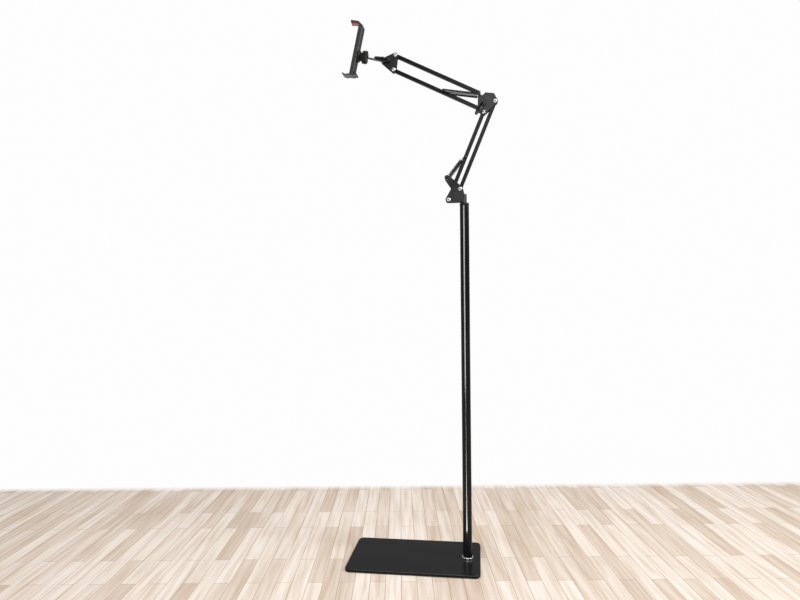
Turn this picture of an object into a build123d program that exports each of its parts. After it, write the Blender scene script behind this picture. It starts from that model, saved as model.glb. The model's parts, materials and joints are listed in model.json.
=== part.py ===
from build123d import *
import math
import os

os.makedirs("parts", exist_ok=True)

# Adjustable tablet floor stand, millimetres, +Z up. The origin is the centre of the base's underside.
# +X runs along the base towards the pole, +Y away from the viewer. The arm lies in the XZ plane at rest.

# Clearances and the shared overrun of every cut
running_clearance = 0.05
press_clearance = 0.02
open_pivot_clearance = 0.2
cut_overrun = 1.0

# Base plate, anti-slip mat and the bolt that holds the pole
base_length = 360.0
base_width = 215.0
base_thickness = 7.0
base_corner_radius = 16.0
base_top_chamfer = 1.2
base_under_chamfer = 0.5
mat_thickness = 1.5
mat_inset = 5.0
mat_hole_diameter = 24.0
pole_bolt_diameter = 8.0
pole_bolt_head_diameter = 16.0
pole_bolt_head_height = 4.2
pole_bolt_hex = 6.0
pole_bolt_hex_depth = 2.6
pole_bolt_reach = 20.0
pole_bolt_head_recess = 0.2
pole_edge_distance = 35.0

# Pole with its foot ring, foot plug and top bush
pole_length = 972.5
pole_diameter = 25.0
pole_wall = 1.2
foot_ring_diameter = 32.0
foot_ring_height = 5.0
foot_ring_chamfer = 1.5
foot_plug_length = 28.0
foot_plug_chamfer = 1.0
top_bush_collar_diameter = 25.6
top_bush_collar_height = 7.0
top_bush_collar_chamfer = 0.8
top_bush_depth = 46.0

# Spigot that turns in the top bush
spigot_stem_diameter = 12.0
spigot_stem_length = 44.0
spigot_stem_chamfer = 1.0
spigot_flange_diameter = 17.0
spigot_flange_height = 1.6
spigot_post_diameter = 13.4
spigot_post_height = 24.6
spigot_post_chamfer = 0.8

# Steel bars, plates, washers and rivets that all the arm sections share
bar_width = 10.0
bar_wall = 1.0
bar_corner_radius = 1.2
bar_plug_length = 15.0
plate_thickness = 2.0
plate_edge_fillet = 0.35
washer_diameter = 11.4
washer_thickness = 0.5
rivet_diameter = 6.0
rivet_head_diameter = 10.0
rivet_head_height = 2.4
rivet_head_rim = 0.6
rivet_recess_diameter = 3.0
rivet_recess_depth = 1.2

# Places of the arm's pivots in the arm plane: lengths and angles from +X towards +Z
bracket_pivot_reach = 43.6
bracket_pivot_height = 10.5
lower_link_length = 43.1
lower_link_angle = 41.5
lower_arm_length = 257.0
lower_arm_angle = 67.6
elbow_step_length = 12.9
elbow_step_angle = 129.6
upper_link_length = 40.9
upper_link_angle = 82.4
upper_arm_length = 269.0
upper_arm_angle = 153.05
head_tip_length = 40.3
head_tip_angle = 137.7
rod_length = 55.6
rod_angle = 164.3
holder_angle = 167.8

# Bracket cheeks: lugs, waist, toe and the ear that steps outwards to hold the spring hooks
cheek_lug_radius = 8.0
cheek_waist_reach = 33.3
cheek_waist_angle = 68.6
cheek_waist_radius = 3.5
cheek_toe_reach = 6.5
cheek_toe_radius = 2.5
cheek_heel_reach = 1.7
cheek_heel_height = 21.0
cheek_ear_reach = 47.0
cheek_ear_angle = 138.0
cheek_ear_radius = 7.3
cheek_fold_reach = 8.9
cheek_fold_angle = 26.5
cheek_fold_run = 11.0
cheek_ear_step = 4.4
ear_slot_reach = 3.3
ear_slot_angle = 254.3
ear_slot_length = 4.0
ear_slot_width = 3.4
ear_slot_turn = 137.0

# Elbow plates
elbow_lug_radius = 7.3
elbow_back_corner_reach = 8.4
elbow_back_corner_angle = 166.8
elbow_back_corner_radius = 3.0
elbow_top_corner_reach = 19.3
elbow_top_corner_angle = 104.2
elbow_top_corner_radius = 3.0

# Head plates
head_lug_radius = 6.8
head_tip_radius = 6.5

# Springs: the coil stands beside the bars, its wire ends run closer in
spring_axis_offset = 10.5
coil_radius = 3.7
lower_spring_wire = 1.6
lower_spring_turns = 19.5
lower_spring_pin_lead = 15.0
lower_spring_ear_lead = 13.0
lower_spring_pin_reach = 126.0
upper_spring_wire = 1.8
upper_spring_turns = 27.5
upper_spring_pin_lead = 17.5
upper_spring_bolt_lead = 12.8
upper_spring_pin_reach = 134.5
spring_loop_clearance = 0.3
spring_hook_radius = 2.2
spring_hook_tail = 3.0
spring_pin_diameter = 4.0
spring_pin_head_diameter = 6.6
spring_pin_head_height = 1.4
spring_pin_seat = 9.9
spring_bolt_head_diameter = 11.2
spring_bolt_head_height = 2.4

# Wing bolts, wing knobs and their washers
wing_bolt_diameter = 6.0
wing_bolt_head_diameter = 13.0
wing_bolt_head_height = 3.0
wing_bolt_reach = 9.0
knob_washer_diameter = 13.0
knob_washer_thickness = 1.0
knob_span = 46.0
knob_hub_radius = 7.0
knob_hub_height = 10.0
knob_wing_root_radius = 6.5
knob_wing_tip_radius = 4.0
knob_wing_gap = 2.4
knob_wing_height = 9.8
knob_saddle_radius = 22.0
knob_saddle_depth = 3.6
knob_edge_fillet = 0.9
elbow_knob_angle = 54.0
head_knob_angle = 168.0

# Ball rod: cross barrel, rod, thinner neck and ball
rod_barrel_diameter = 12.0
rod_diameter = 6.0
rod_neck_diameter = 5.0
rod_neck_reach = 15.0
ball_diameter = 15.0

# Ball seats, socket and clamping nut, measured along the holder's normal from the ball's centre
seat_thickness = 1.05
seat_cup_angle = 60.0
seat_ring_start_angle = 100.0
seat_ring_end_angle = 126.0
socket_flange_diameter = 33.0
socket_flange_thickness = 4.0
socket_cone_length = 3.5
socket_neck_diameter = 24.0
socket_mouth = -1.0
nut_diameter = 35.8
nut_front = -7.5
nut_back = 5.0
nut_bore_start = -1.8
nut_lobes = 6
nut_groove_radius = 4.6
nut_groove_depth = 3.0
nut_edge_fillet = 1.2
nut_throat_radius = 7.0
nut_throat_depth = -5.05
nut_mouth_radius = 8.8
socket_screw_diameter = 3.0
socket_screw_head_diameter = 4.4
socket_screw_head_height = 1.7
socket_screw_reach = 6.0
socket_screw_spacing = 19.4

# Tablet clamp: casing, cover, sliding upper jaw and fixed lower jaw
holder_distance = 18.5
holder_thickness = 13.0
holder_width = 28.0
holder_bottom = -56.0
holder_parting = 52.0
holder_parting_gap = 0.3
holder_wall = 2.0
holder_back_radius = 3.0
holder_front_radius = 1.0
cover_thickness = 2.2
casing_floor_wall = 4.0
tongue_width = 12.0
tongue_bottom = -40.0
tongue_clearance = 0.1
guide_rib_thickness = 1.3
jaw_spring_diameter = 3.2
jaw_spring_bore = 1.8
jaw_spring_spacing = 19.4
jaw_spring_lug_height = 3.0
jaw_spring_lug_width = 3.0
cover_post_diameter = 6.0
cover_post_height = -46.0
cover_screw_diameter = 2.6
cover_screw_head_diameter = 4.6
cover_screw_head_height = 1.4
cover_screw_reach = 7.0
upper_jaw_shoulder = 82.0
upper_jaw_crown = 93.2
upper_jaw_slope_start = 3.0
upper_jaw_slope_run = 16.0
upper_jaw_slope_rise = 2.6
jaw_reach = 24.5
jaw_lip_thickness = 4.0
jaw_hook_depth = 2.2
jaw_hook_thickness = 2.6
jaw_tip_radius = 1.1
jaw_root_step = 2.4
lower_jaw_reach = 20.5
lower_jaw_plate = 3.0
lower_jaw_heel = 2.5
lower_jaw_sag_reach = 10.0
lower_jaw_sag = 2.4
lower_jaw_tip_rise = 1.4
lower_jaw_tip_drop = 1.6
rear_foot_top = 9.0
rear_foot_reach = 8.5
rear_foot_drop = 5.4
rear_foot_thickness = 2.4
jaw_pad_thickness = 1.2
jaw_pad_side_margin = 6.5
jaw_pad_end_margin = 3.0
lower_jaw_screw_diameter = 2.6
lower_jaw_screw_head_diameter = 5.0
lower_jaw_screw_head_height = 1.5
lower_jaw_screw_length = 6.4
lower_jaw_screw_spacing = 18.0

# Levels and distances worked out from the sizes above
plate_underside = mat_thickness
plate_top = plate_underside + base_thickness
pole_x = base_length / 2 - pole_edge_distance
pole_radius = pole_diameter / 2
pole_bore_radius = pole_radius - pole_wall
pole_top = plate_top + pole_length
bush_top = pole_top + top_bush_collar_height
bar_half = bar_width / 2
plate_inner = bar_half + washer_thickness
plate_outer = plate_inner + plate_thickness
pivot_hole_radius = rivet_diameter / 2 + running_clearance
fixed_hole_radius = rivet_diameter / 2 + press_clearance


def polar(origin, angle, reach):
    """Point of the arm plane at an angle and a distance from another point."""
    turn = math.radians(angle)
    return (origin[0] + reach * math.cos(turn), origin[1] + reach * math.sin(turn))


def heading(start, end):
    """Angle from one point of the arm plane to another, and their distance."""
    dx = end[0] - start[0]
    dz = end[1] - start[1]
    return math.degrees(math.atan2(dz, dx)), math.hypot(dx, dz)


# Pivots of the arm in the arm plane
bracket_front_pivot = (pole_x - bracket_pivot_reach, bush_top + bracket_pivot_height)
bracket_rear_pivot = polar(bracket_front_pivot, lower_link_angle, lower_link_length)
elbow_front_pivot = polar(bracket_front_pivot, lower_arm_angle, lower_arm_length)
elbow_rear_pivot = polar(elbow_front_pivot, lower_link_angle, lower_link_length)
elbow_wing_pivot = polar(elbow_front_pivot, elbow_step_angle, elbow_step_length)
elbow_top_pivot = polar(elbow_wing_pivot, upper_link_angle, upper_link_length)
head_bottom_pivot = polar(elbow_wing_pivot, upper_arm_angle, upper_arm_length)
head_top_pivot = polar(head_bottom_pivot, upper_link_angle, upper_link_length)
head_tip_pivot = polar(head_bottom_pivot, head_tip_angle, head_tip_length)
ball_centre = polar(head_tip_pivot, rod_angle, rod_length)


def slab(outline, y_near, y_far):
    """Solid between two depths whose outline is drawn in the arm plane."""
    plane = Plane(origin=(0, y_far, 0), x_dir=(1, 0, 0), z_dir=(0, -1, 0))
    return extrude(plane * outline, amount=y_far - y_near)


def disc(centre, radius):
    """Round outline in the arm plane."""
    return Pos(centre[0], centre[1]) * Circle(radius)


def drum(centre, radius, y_near, y_far):
    """Round bar across the arm plane."""
    return slab(disc(centre, radius), y_near, y_far)


def hull(discs):
    """Outline that wraps round discs given as (centre, radius)."""
    edges = []
    for centre, radius in discs:
        edges += disc(centre, radius).edges()
    return make_hull(edges)


def both_sides(solid):
    """A solid and its mirror image behind the arm plane."""
    return [solid, mirror(solid, about=Plane.XZ)]


def group(solids):
    """Several separate solids of one node."""
    return Compound(children=[Solid(item.wrapped) if isinstance(item, Solid) else item for item in solids])


def save(shape, node):
    """Write one node as a STEP file."""
    export_step(shape, "parts/" + node + ".step")


# Base plate: a rounded steel plate with a bevelled rim, bored and counterbored for the pole's bolt
def make_base_plate():
    plate = extrude(RectangleRounded(base_length, base_width, base_corner_radius), amount=base_thickness)
    plate = Pos(0, 0, plate_underside) * plate
    plate = chamfer(plate.faces().sort_by(Axis.Z)[-1].edges(), base_top_chamfer)
    plate = chamfer(plate.faces().sort_by(Axis.Z)[0].edges(), base_under_chamfer)
    depth = pole_bolt_head_height + pole_bolt_head_recess
    recess = Pos(pole_x, 0, plate_underside + (depth - cut_overrun) / 2) * Cylinder(
        pole_bolt_head_diameter / 2 + running_clearance, depth + cut_overrun)
    hole = Pos(pole_x, 0, plate_top - base_thickness / 2) * Cylinder(
        pole_bolt_diameter / 2 + running_clearance, base_thickness + 2 * cut_overrun)
    return plate - recess - hole


def make_anti_slip_mat():
    mat = extrude(
        RectangleRounded(base_length - 2 * mat_inset, base_width - 2 * mat_inset, base_corner_radius - mat_inset),
        amount=mat_thickness)
    return mat - Pos(pole_x, 0, mat_thickness / 2) * Cylinder(mat_hole_diameter / 2, mat_thickness + 2 * cut_overrun)


def make_pole_bolt():
    seat = plate_underside + pole_bolt_head_height + pole_bolt_head_recess
    head = Pos(pole_x, 0, seat - pole_bolt_head_height / 2) * Cylinder(
        pole_bolt_head_diameter / 2, pole_bolt_head_height)
    length = plate_top - seat + pole_bolt_reach
    shank = Pos(pole_x, 0, seat + length / 2) * Cylinder(pole_bolt_diameter / 2, length)
    socket = Pos(pole_x, 0, seat - pole_bolt_head_height) * extrude(
        RegularPolygon(pole_bolt_hex / 2, 6, major_radius=False), amount=pole_bolt_hex_depth)
    return head + shank - socket


# Pole: a straight steel tube with a threaded plug in its foot, a chromed ring and a plastic top bush
def make_pole():
    middle = plate_top + pole_length / 2
    tube = Pos(pole_x, 0, middle) * Cylinder(pole_radius, pole_length)
    return tube - Pos(pole_x, 0, middle) * Cylinder(pole_bore_radius, pole_length + 2 * cut_overrun)


def make_foot_plug():
    plug = Pos(pole_x, 0, plate_top + foot_plug_length / 2) * Cylinder(
        pole_bore_radius - press_clearance, foot_plug_length)
    plug = chamfer(plug.faces().sort_by(Axis.Z)[-1].edges(), foot_plug_chamfer)
    return plug - Pos(pole_x, 0, plate_top + foot_plug_length / 2) * Cylinder(
        pole_bolt_diameter / 2 + press_clearance, foot_plug_length + 2 * cut_overrun)


def make_foot_ring():
    ring = Pos(pole_x, 0, plate_top + foot_ring_height / 2) * Cylinder(foot_ring_diameter / 2, foot_ring_height)
    ring = chamfer(ring.faces().sort_by(Axis.Z)[-1].edges(), foot_ring_chamfer)
    return ring - Pos(pole_x, 0, plate_top + foot_ring_height / 2) * Cylinder(
        pole_radius + press_clearance, foot_ring_height + 2 * cut_overrun)


def make_top_bush():
    collar = Pos(pole_x, 0, pole_top + top_bush_collar_height / 2) * Cylinder(
        top_bush_collar_diameter / 2, top_bush_collar_height)
    collar = chamfer(collar.faces().sort_by(Axis.Z)[-1].edges(), top_bush_collar_chamfer)
    sleeve = Pos(pole_x, 0, pole_top - top_bush_depth / 2) * Cylinder(
        pole_bore_radius - press_clearance, top_bush_depth)
    height = top_bush_depth + top_bush_collar_height
    bore = Pos(pole_x, 0, bush_top - height / 2) * Cylinder(
        spigot_stem_diameter / 2 + running_clearance, height + 2 * cut_overrun)
    return collar + sleeve - bore


# Spigot: a turned stem with a thrust flange and a post flattened on both sides for the cheeks
def make_spigot():
    stem = Pos(pole_x, 0, bush_top - spigot_stem_length / 2) * Cylinder(spigot_stem_diameter / 2, spigot_stem_length)
    stem = chamfer(stem.faces().sort_by(Axis.Z)[0].edges(), spigot_stem_chamfer)
    flange = Pos(pole_x, 0, bush_top + spigot_flange_height / 2) * Cylinder(
        spigot_flange_diameter / 2, spigot_flange_height)
    post = Pos(pole_x, 0, bush_top + spigot_post_height / 2) * Cylinder(spigot_post_diameter / 2, spigot_post_height)
    post = chamfer(post.faces().sort_by(Axis.Z)[-1].edges(), spigot_post_chamfer)
    flat_height = spigot_post_height - spigot_flange_height
    flats = Pos(pole_x, 0, bush_top + spigot_flange_height + flat_height / 2) * Box(
        spigot_post_diameter + 2 * cut_overrun, 2 * plate_inner, flat_height)
    foot = Pos(pole_x, 0, bush_top + spigot_flange_height / 2) * Cylinder(
        spigot_post_diameter / 2, spigot_flange_height)
    return stem + flange + (post & (flats + foot))


# Bracket cheeks: sheet steel, folded outwards above the rear pivot so that the ear clears the bars
cheek_waist = polar(bracket_front_pivot, cheek_waist_angle, cheek_waist_reach)
cheek_ear = polar(bracket_rear_pivot, cheek_ear_angle, cheek_ear_reach)
ear_slot = polar(cheek_ear, ear_slot_angle, ear_slot_reach)
cheek_bottom = bush_top + bracket_pivot_height - cheek_lug_radius
ear_inner = plate_inner + cheek_ear_step
ear_outer = plate_outer + cheek_ear_step


def make_cheek():
    front_lug = (bracket_front_pivot, cheek_lug_radius)
    rear_lug = (bracket_rear_pivot, cheek_lug_radius)
    waist = (cheek_waist, cheek_waist_radius)
    toe = ((pole_x - cheek_toe_reach, cheek_bottom + cheek_toe_radius), cheek_toe_radius)
    heel = ((pole_x - cheek_heel_reach, cheek_bottom + cheek_heel_height), cheek_toe_radius)
    ear = (cheek_ear, cheek_ear_radius)
    outline = hull([front_lug, toe, heel, rear_lug, waist]) + hull([rear_lug, waist, ear])
    blank = slab(outline, -ear_outer - cut_overrun, 0)

    # The folded sheet in section: flat, a slope outwards, and flat again, wide enough for the whole outline
    fold_point = polar(bracket_rear_pivot, cheek_fold_angle + 90, cheek_fold_reach)
    along = math.radians(cheek_fold_angle)
    section = Plane(
        origin=(fold_point[0], 0, fold_point[1]),
        x_dir=(-math.sin(along), 0, math.cos(along)),
        z_dir=(math.cos(along), 0, math.sin(along)))
    reach = cheek_ear_reach + lower_link_length
    profile = Polyline(
        (-reach, plate_inner), (0, plate_inner), (cheek_fold_run, ear_inner), (reach, ear_inner),
        (reach, ear_outer), (cheek_fold_run, ear_outer), (0, plate_outer), (-reach, plate_outer), close=True)
    sheet = extrude(section * make_face(profile), amount=reach, both=True)
    cheek = blank & sheet
    for pivot in (bracket_front_pivot, bracket_rear_pivot):
        cheek -= drum(pivot, fixed_hole_radius, -ear_outer, 0)
    slot = Pos(ear_slot[0], ear_slot[1]) * Rot(0, 0, ear_slot_turn) * SlotCenterToCenter(
        ear_slot_length, ear_slot_width)
    return cheek - slab(slot, -ear_outer - cut_overrun, 0)


def dome(centre, diameter, height, rim, y_seat, recess=0):
    """Round fastener head with a domed top that stands out towards the viewer from its seat."""
    cap_height = height - rim
    ball_radius = (diameter * diameter / 4 + cap_height * cap_height) / (2 * cap_height)
    body = drum(centre, diameter / 2, y_seat - height, y_seat)
    ball = Pos(centre[0], y_seat - height + ball_radius, centre[1]) * Sphere(ball_radius)
    head = body & ball
    if recess:
        head -= drum(centre, recess / 2, y_seat - height - cut_overrun, y_seat - height + rivet_recess_depth)
    return head


def make_rivet(pivot):
    """Tubular rivet: a shank through both plates with the same dimpled dome on each side."""
    shank = drum(pivot, rivet_diameter / 2, -plate_outer, plate_outer)
    head = dome(pivot, rivet_head_diameter, rivet_head_height, rivet_head_rim, -plate_outer, rivet_recess_diameter)
    for side in both_sides(head):
        shank += side
    return shank


def make_washers(pivots):
    """Nylon washers on both sides of the bars at some pivots."""
    rings = []
    for pivot in pivots:
        ring = drum(pivot, washer_diameter / 2, -plate_inner, -bar_half)
        ring -= drum(pivot, pivot_hole_radius, -plate_inner - cut_overrun, 0)
        rings += both_sides(ring)
    return group(rings)


def bar_frame(start, end):
    """Plane at a bar's first pivot, with X along the bar and Z towards the viewer."""
    angle = math.radians(heading(start, end)[0])
    return Plane(
        origin=(start[0], 0, start[1]),
        x_dir=(math.cos(angle), 0, math.sin(angle)),
        z_dir=(0, -1, 0))


def bar_envelope(frame, length):
    """Space between the bar's rounded ends."""
    outline = Pos(length / 2, 0) * SlotCenterToCenter(length, bar_width)
    return extrude(frame * outline, amount=bar_half, both=True)


def make_bar(start, end, end_clearance, pin_reach=0):
    """Square steel tube with rounded ends, bored at both pivots and for its spring pin."""
    frame = bar_frame(start, end)
    length = heading(start, end)[1]
    blank = Box(length + bar_width, bar_width, bar_width)
    blank = fillet(blank.edges().filter_by(Axis.X), bar_corner_radius)
    blank -= Box(length + bar_width + 2 * cut_overrun, bar_width - 2 * bar_wall, bar_width - 2 * bar_wall)
    tube = (frame.location * Pos(length / 2, 0, 0) * blank) & bar_envelope(frame, length)
    holes = [(0, pivot_hole_radius), (length, pivot_hole_radius + end_clearance)]
    if pin_reach:
        holes.append((pin_reach, spring_pin_diameter / 2 + press_clearance))
    for along, radius in holes:
        tube -= frame.location * Pos(along, 0, 0) * Cylinder(radius, bar_width + 2 * cut_overrun)
    return tube


def make_bar_plugs(start, end, end_clearance):
    """Plastic plugs that close the two ends of a bar and carry its pivots."""
    frame = bar_frame(start, end)
    length = heading(start, end)[1]
    side = bar_width - 2 * bar_wall - 2 * press_clearance
    envelope = bar_envelope(frame, length)
    plugs = []
    for along, offset, clearance in ((0, 1, 0), (length, -1, end_clearance)):
        middle = along + offset * (bar_plug_length / 2 - bar_half)
        plug = (frame.location * Pos(middle, 0, 0) * Box(bar_plug_length, side, side)) & envelope
        radius = pivot_hole_radius + clearance
        plugs.append(plug - frame.location * Pos(along, 0, 0) * Cylinder(radius, bar_width))
    return group(plugs)


def make_spring_pin(start, end, reach):
    """Cross pin through a bar, with a head at each end that keeps the spring loops on."""
    angle = heading(start, end)[0]
    centre = polar(start, angle, reach)
    pin = drum(centre, spring_pin_diameter / 2, -spring_pin_seat, spring_pin_seat)
    head = dome(centre, spring_pin_head_diameter, spring_pin_head_height, spring_pin_head_height / 3, -spring_pin_seat)
    for side in both_sides(head):
        pin += side
    return pin


# Springs: every tube follows stations, a point and a heading each, joined by pairs of tangent arcs
def arc_pair(start, start_tangent, end, end_tangent):
    """Two tangent arcs, or one line, from a station to the next."""
    span = end - start
    if span.normalized().dot(start_tangent) > 1 - 1e-9 and start_tangent.dot(end_tangent) > 1 - 1e-9:
        return [Line(start, end).edge()]
    total = start_tangent + end_tangent
    across = 1 - start_tangent.dot(end_tangent)
    lean = span.dot(total)
    if across < 1e-9:
        reach = span.dot(span) / (2 * lean)
    else:
        reach = (math.sqrt(lean * lean + 2 * across * span.dot(span)) - lean) / (2 * across)
    joint = (start + start_tangent * reach + end - end_tangent * reach) / 2
    first = Edge.make_tangent_arc(start, start_tangent, joint)
    second = Edge.make_tangent_arc(joint, first % 1, end)
    return [first, second]


def least_gap(edges, wire):
    """Least distance between two turns' surfaces, from points along the tube."""
    points = []
    travelled = 0.0
    for edge in edges:
        count = max(2, round(edge.length / wire * 4))
        for index in range(count):
            share = index / count
            points.append((travelled + share * edge.length, edge @ share))
        travelled += edge.length
    closest = travelled
    apart = math.pi * wire * 2
    for index, (place, point) in enumerate(points):
        for other_place, other in points[index + 1:]:
            if other_place - place > apart:
                closest = min(closest, (other - point).length)
    return closest - wire


def make_spring(pin, pin_side, far_point, far_loop_radius, far_side, wire, turns, pin_lead, far_lead):
    """Tension spring in front of the bars, from a loop round its pin to a loop or an ear hook."""
    bend = coil_radius / 2
    pin_loop = spring_pin_diameter / 2 + spring_loop_clearance + wire / 2
    far_offset = far_side * far_loop_radius if far_loop_radius else 0
    angle, distance = heading(pin, far_point)
    # The straight ends touch both loops, so the coil's axis leans a little off the line of the two centres
    lean = math.degrees(math.asin((pin_side * pin_loop - far_offset) / distance))
    angle += lean
    length = distance * math.cos(math.radians(lean))
    turn = math.radians(angle)
    ahead = Vector(math.cos(turn), 0, math.sin(turn))
    aside = Vector(-math.sin(turn), 0, math.cos(turn))
    outward = Vector(0, -1, 0)
    foot = Vector(pin[0], -spring_axis_offset, pin[1]) - aside * (pin_side * pin_loop)

    def place(along, out, across):
        return foot + ahead * along + outward * out + aside * across

    stations = []
    for quarter in (-3, -2, -1, 0):
        swing = math.radians(90 * quarter)
        point = place(pin_loop * math.sin(swing), -bend, pin_side * pin_loop * (1 - math.cos(swing)))
        stations.append((point, ahead * math.cos(swing) + aside * (pin_side * math.sin(swing))))
    coil_end = length - far_lead
    pitch = (coil_end - pin_lead) / turns
    stations.append((place(pin_lead - bend, -bend, 0), ahead))
    stations.append((place(pin_lead, 0, 0), outward))
    stations.append((place(pin_lead, bend, bend), aside))
    for half in range(round(2 * turns) + 1):
        swing = math.radians(90 + 180 * half)
        point = place(pin_lead + pitch * half / 2, coil_radius * math.cos(swing), coil_radius * math.sin(swing))
        tangent = outward * (-math.sin(swing)) + aside * math.cos(swing) + ahead * (
            pitch / (2 * math.pi * coil_radius))
        stations.append((point, tangent.normalized()))
    stations.append((place(coil_end, bend, -bend), aside))
    stations.append((place(coil_end, 0, 0), outward * -1))
    stations.append((place(coil_end + bend, -bend, 0), ahead))
    if far_loop_radius:
        for quarter in (0, 1, 2, 3):
            swing = math.radians(90 * quarter)
            point = place(
                length + far_loop_radius * math.sin(swing), -bend,
                far_side * far_loop_radius * (1 - math.cos(swing)))
            stations.append((point, ahead * math.cos(swing) + aside * (far_side * math.sin(swing))))
    else:
        start = length - spring_hook_radius
        stations.append((place(start, -bend, 0), ahead))
        stations.append((place(length, spring_hook_radius - bend, 0), outward))
        stations.append((place(start, 2 * spring_hook_radius - bend, 0), ahead * -1))
        stations.append((place(start - spring_hook_tail, 2 * spring_hook_radius - bend, 0), ahead * -1))
    edges = []
    for (point, tangent), (next_point, next_tangent) in zip(stations, stations[1:]):
        edges += arc_pair(point, tangent, next_point, next_tangent)
    path = Wire(edges)
    section = Plane(origin=stations[0][0], z_dir=stations[0][1]) * Circle(wire / 2)
    spring = sweep(section, path=path)
    expected = math.pi * wire * wire / 4 * path.length
    print("spring: turns", turns, "wire length", round(path.length, 1), "least gap", round(least_gap(edges, wire), 3),
          "volume share", round(spring.volume / expected, 4))
    return spring


# Wing knob: a moulded hub with two tapering wings and a saddle between them, on a carriage bolt
def make_wing_bolt(pivot):
    shank = drum(pivot, wing_bolt_diameter / 2, -plate_outer - knob_washer_thickness - wing_bolt_reach, plate_outer)
    head = mirror(
        dome(pivot, wing_bolt_head_diameter, wing_bolt_head_height, rivet_head_rim, -plate_outer), about=Plane.XZ)
    return shank + head


def make_knob_washer(pivot):
    ring = drum(pivot, knob_washer_diameter / 2, -plate_outer - knob_washer_thickness, -plate_outer)
    return ring - drum(pivot, wing_bolt_diameter / 2 + running_clearance, -plate_outer - 2 * cut_overrun, 0)


def make_wing_knob(pivot, angle):
    base = -plate_outer - knob_washer_thickness
    hub = drum(pivot, knob_hub_radius, base - knob_hub_height, base)
    tip_reach = knob_span / 2 - knob_wing_tip_radius
    leaf = hull([
        (polar(pivot, angle, tip_reach), knob_wing_tip_radius),
        (pivot, knob_wing_root_radius),
        (polar(pivot, angle + 180, tip_reach), knob_wing_tip_radius)])
    wings = slab(leaf, base - knob_wing_gap - knob_wing_height, base - knob_wing_gap)
    face = base - knob_wing_gap - knob_wing_height
    saddle = Pos(pivot[0], face + knob_saddle_depth - knob_saddle_radius, pivot[1]) * Rot(0, -angle, 0) * Cylinder(
        knob_saddle_radius, 4 * knob_hub_radius)
    wings -= saddle
    wings = fillet(wings.edges().filter_by(GeomType.LINE, reverse=True), knob_edge_fillet / 2)
    bore = drum(pivot, wing_bolt_diameter / 2 + running_clearance, base - wing_bolt_reach - running_clearance, base)
    return hub + wings - bore


def make_elbow_plate():
    back_corner = polar(elbow_top_pivot, elbow_back_corner_angle, elbow_back_corner_reach)
    top_corner = polar(elbow_rear_pivot, elbow_top_corner_angle, elbow_top_corner_reach)
    outline = hull([
        (elbow_front_pivot, elbow_lug_radius),
        (elbow_rear_pivot, elbow_lug_radius),
        (top_corner, elbow_top_corner_radius),
        (back_corner, elbow_back_corner_radius),
        (elbow_wing_pivot, elbow_lug_radius)])
    plate = slab(outline, -plate_outer, -plate_inner)
    plate = fillet(plate.faces().sort_by(Axis.Y)[0].edges(), plate_edge_fillet)
    for pivot in (elbow_front_pivot, elbow_rear_pivot, elbow_top_pivot, elbow_wing_pivot):
        plate -= drum(pivot, fixed_hole_radius, -plate_outer - cut_overrun, 0)
    return plate


def make_elbow_spring_bolt():
    """Shoulder bolt at the elbow's top pivot, whose heads stand off the plates to hold the spring loops."""
    shank = drum(elbow_top_pivot, rivet_diameter / 2, -spring_pin_seat, spring_pin_seat)
    head = dome(
        elbow_top_pivot, spring_bolt_head_diameter, spring_bolt_head_height, rivet_head_rim, -spring_pin_seat)
    for side in both_sides(head):
        shank += side
    return shank


def make_head_plate():
    outline = hull([
        (head_bottom_pivot, head_lug_radius),
        (head_top_pivot, head_lug_radius),
        (head_tip_pivot, head_tip_radius)])
    plate = slab(outline, -plate_outer, -plate_inner)
    plate = fillet(plate.faces().sort_by(Axis.Y)[0].edges(), plate_edge_fillet)
    for pivot in (head_bottom_pivot, head_top_pivot, head_tip_pivot):
        plate -= drum(pivot, fixed_hole_radius, -plate_outer - cut_overrun, 0)
    return plate


# Holder frame: X is the clamp's normal towards the tablet, Y runs up the clamp, Z across it
holder_turn = math.radians(holder_angle)
holder_frame = Plane(
    origin=(ball_centre[0], 0, ball_centre[1]),
    x_dir=(math.cos(holder_turn), 0, math.sin(holder_turn)),
    z_dir=(0, 1, 0)).location
holder_back = holder_distance
holder_front = holder_distance + holder_thickness
cover_back = holder_front - cover_thickness
half_width = holder_width / 2
cavity_half = half_width - holder_wall
cavity_bottom = holder_bottom + casing_floor_wall


def block(x_low, x_high, y_low, y_high, half_depth):
    """Box between limits of the holder frame, symmetric across the clamp."""
    middle = Pos((x_low + x_high) / 2, (y_low + y_high) / 2, 0)
    return middle * Box(x_high - x_low, y_high - y_low, 2 * half_depth)


def turned(profile):
    """Solid of revolution about the holder's normal, from points (distance along it, radius)."""
    return revolve(make_face(Polyline(*profile, close=True)), Axis.X)


def axle(x_low, x_high, radius, y=0, z=0):
    """Round bar along the holder's normal."""
    return Pos((x_low + x_high) / 2, y, z) * Rot(0, 90, 0) * Cylinder(radius, x_high - x_low)


# Ball rod: a barrel clamped between the head plates, a straight rod and a ball
def make_ball_rod():
    barrel_half = plate_inner - running_clearance
    barrel = drum(head_tip_pivot, rod_barrel_diameter / 2, -barrel_half, barrel_half)
    frame = bar_frame(head_tip_pivot, ball_centre).location
    neck_start = rod_length - rod_neck_reach
    rod = frame * Pos(neck_start / 2, 0, 0) * Rot(0, 90, 0) * Cylinder(rod_diameter / 2, neck_start)
    neck = frame * Pos(rod_length - rod_neck_reach / 2, 0, 0) * Rot(0, 90, 0) * Cylinder(
        rod_neck_diameter / 2, rod_neck_reach)
    ball = frame * Pos(rod_length, 0, 0) * Sphere(ball_diameter / 2)
    bore = drum(head_tip_pivot, wing_bolt_diameter / 2 + running_clearance, -plate_outer, plate_outer)
    return barrel + rod + neck + ball - bore


seat_inner_radius = ball_diameter / 2 + running_clearance
seat_outer_radius = seat_inner_radius + seat_thickness
socket_ball_radius = seat_outer_radius + running_clearance


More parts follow.
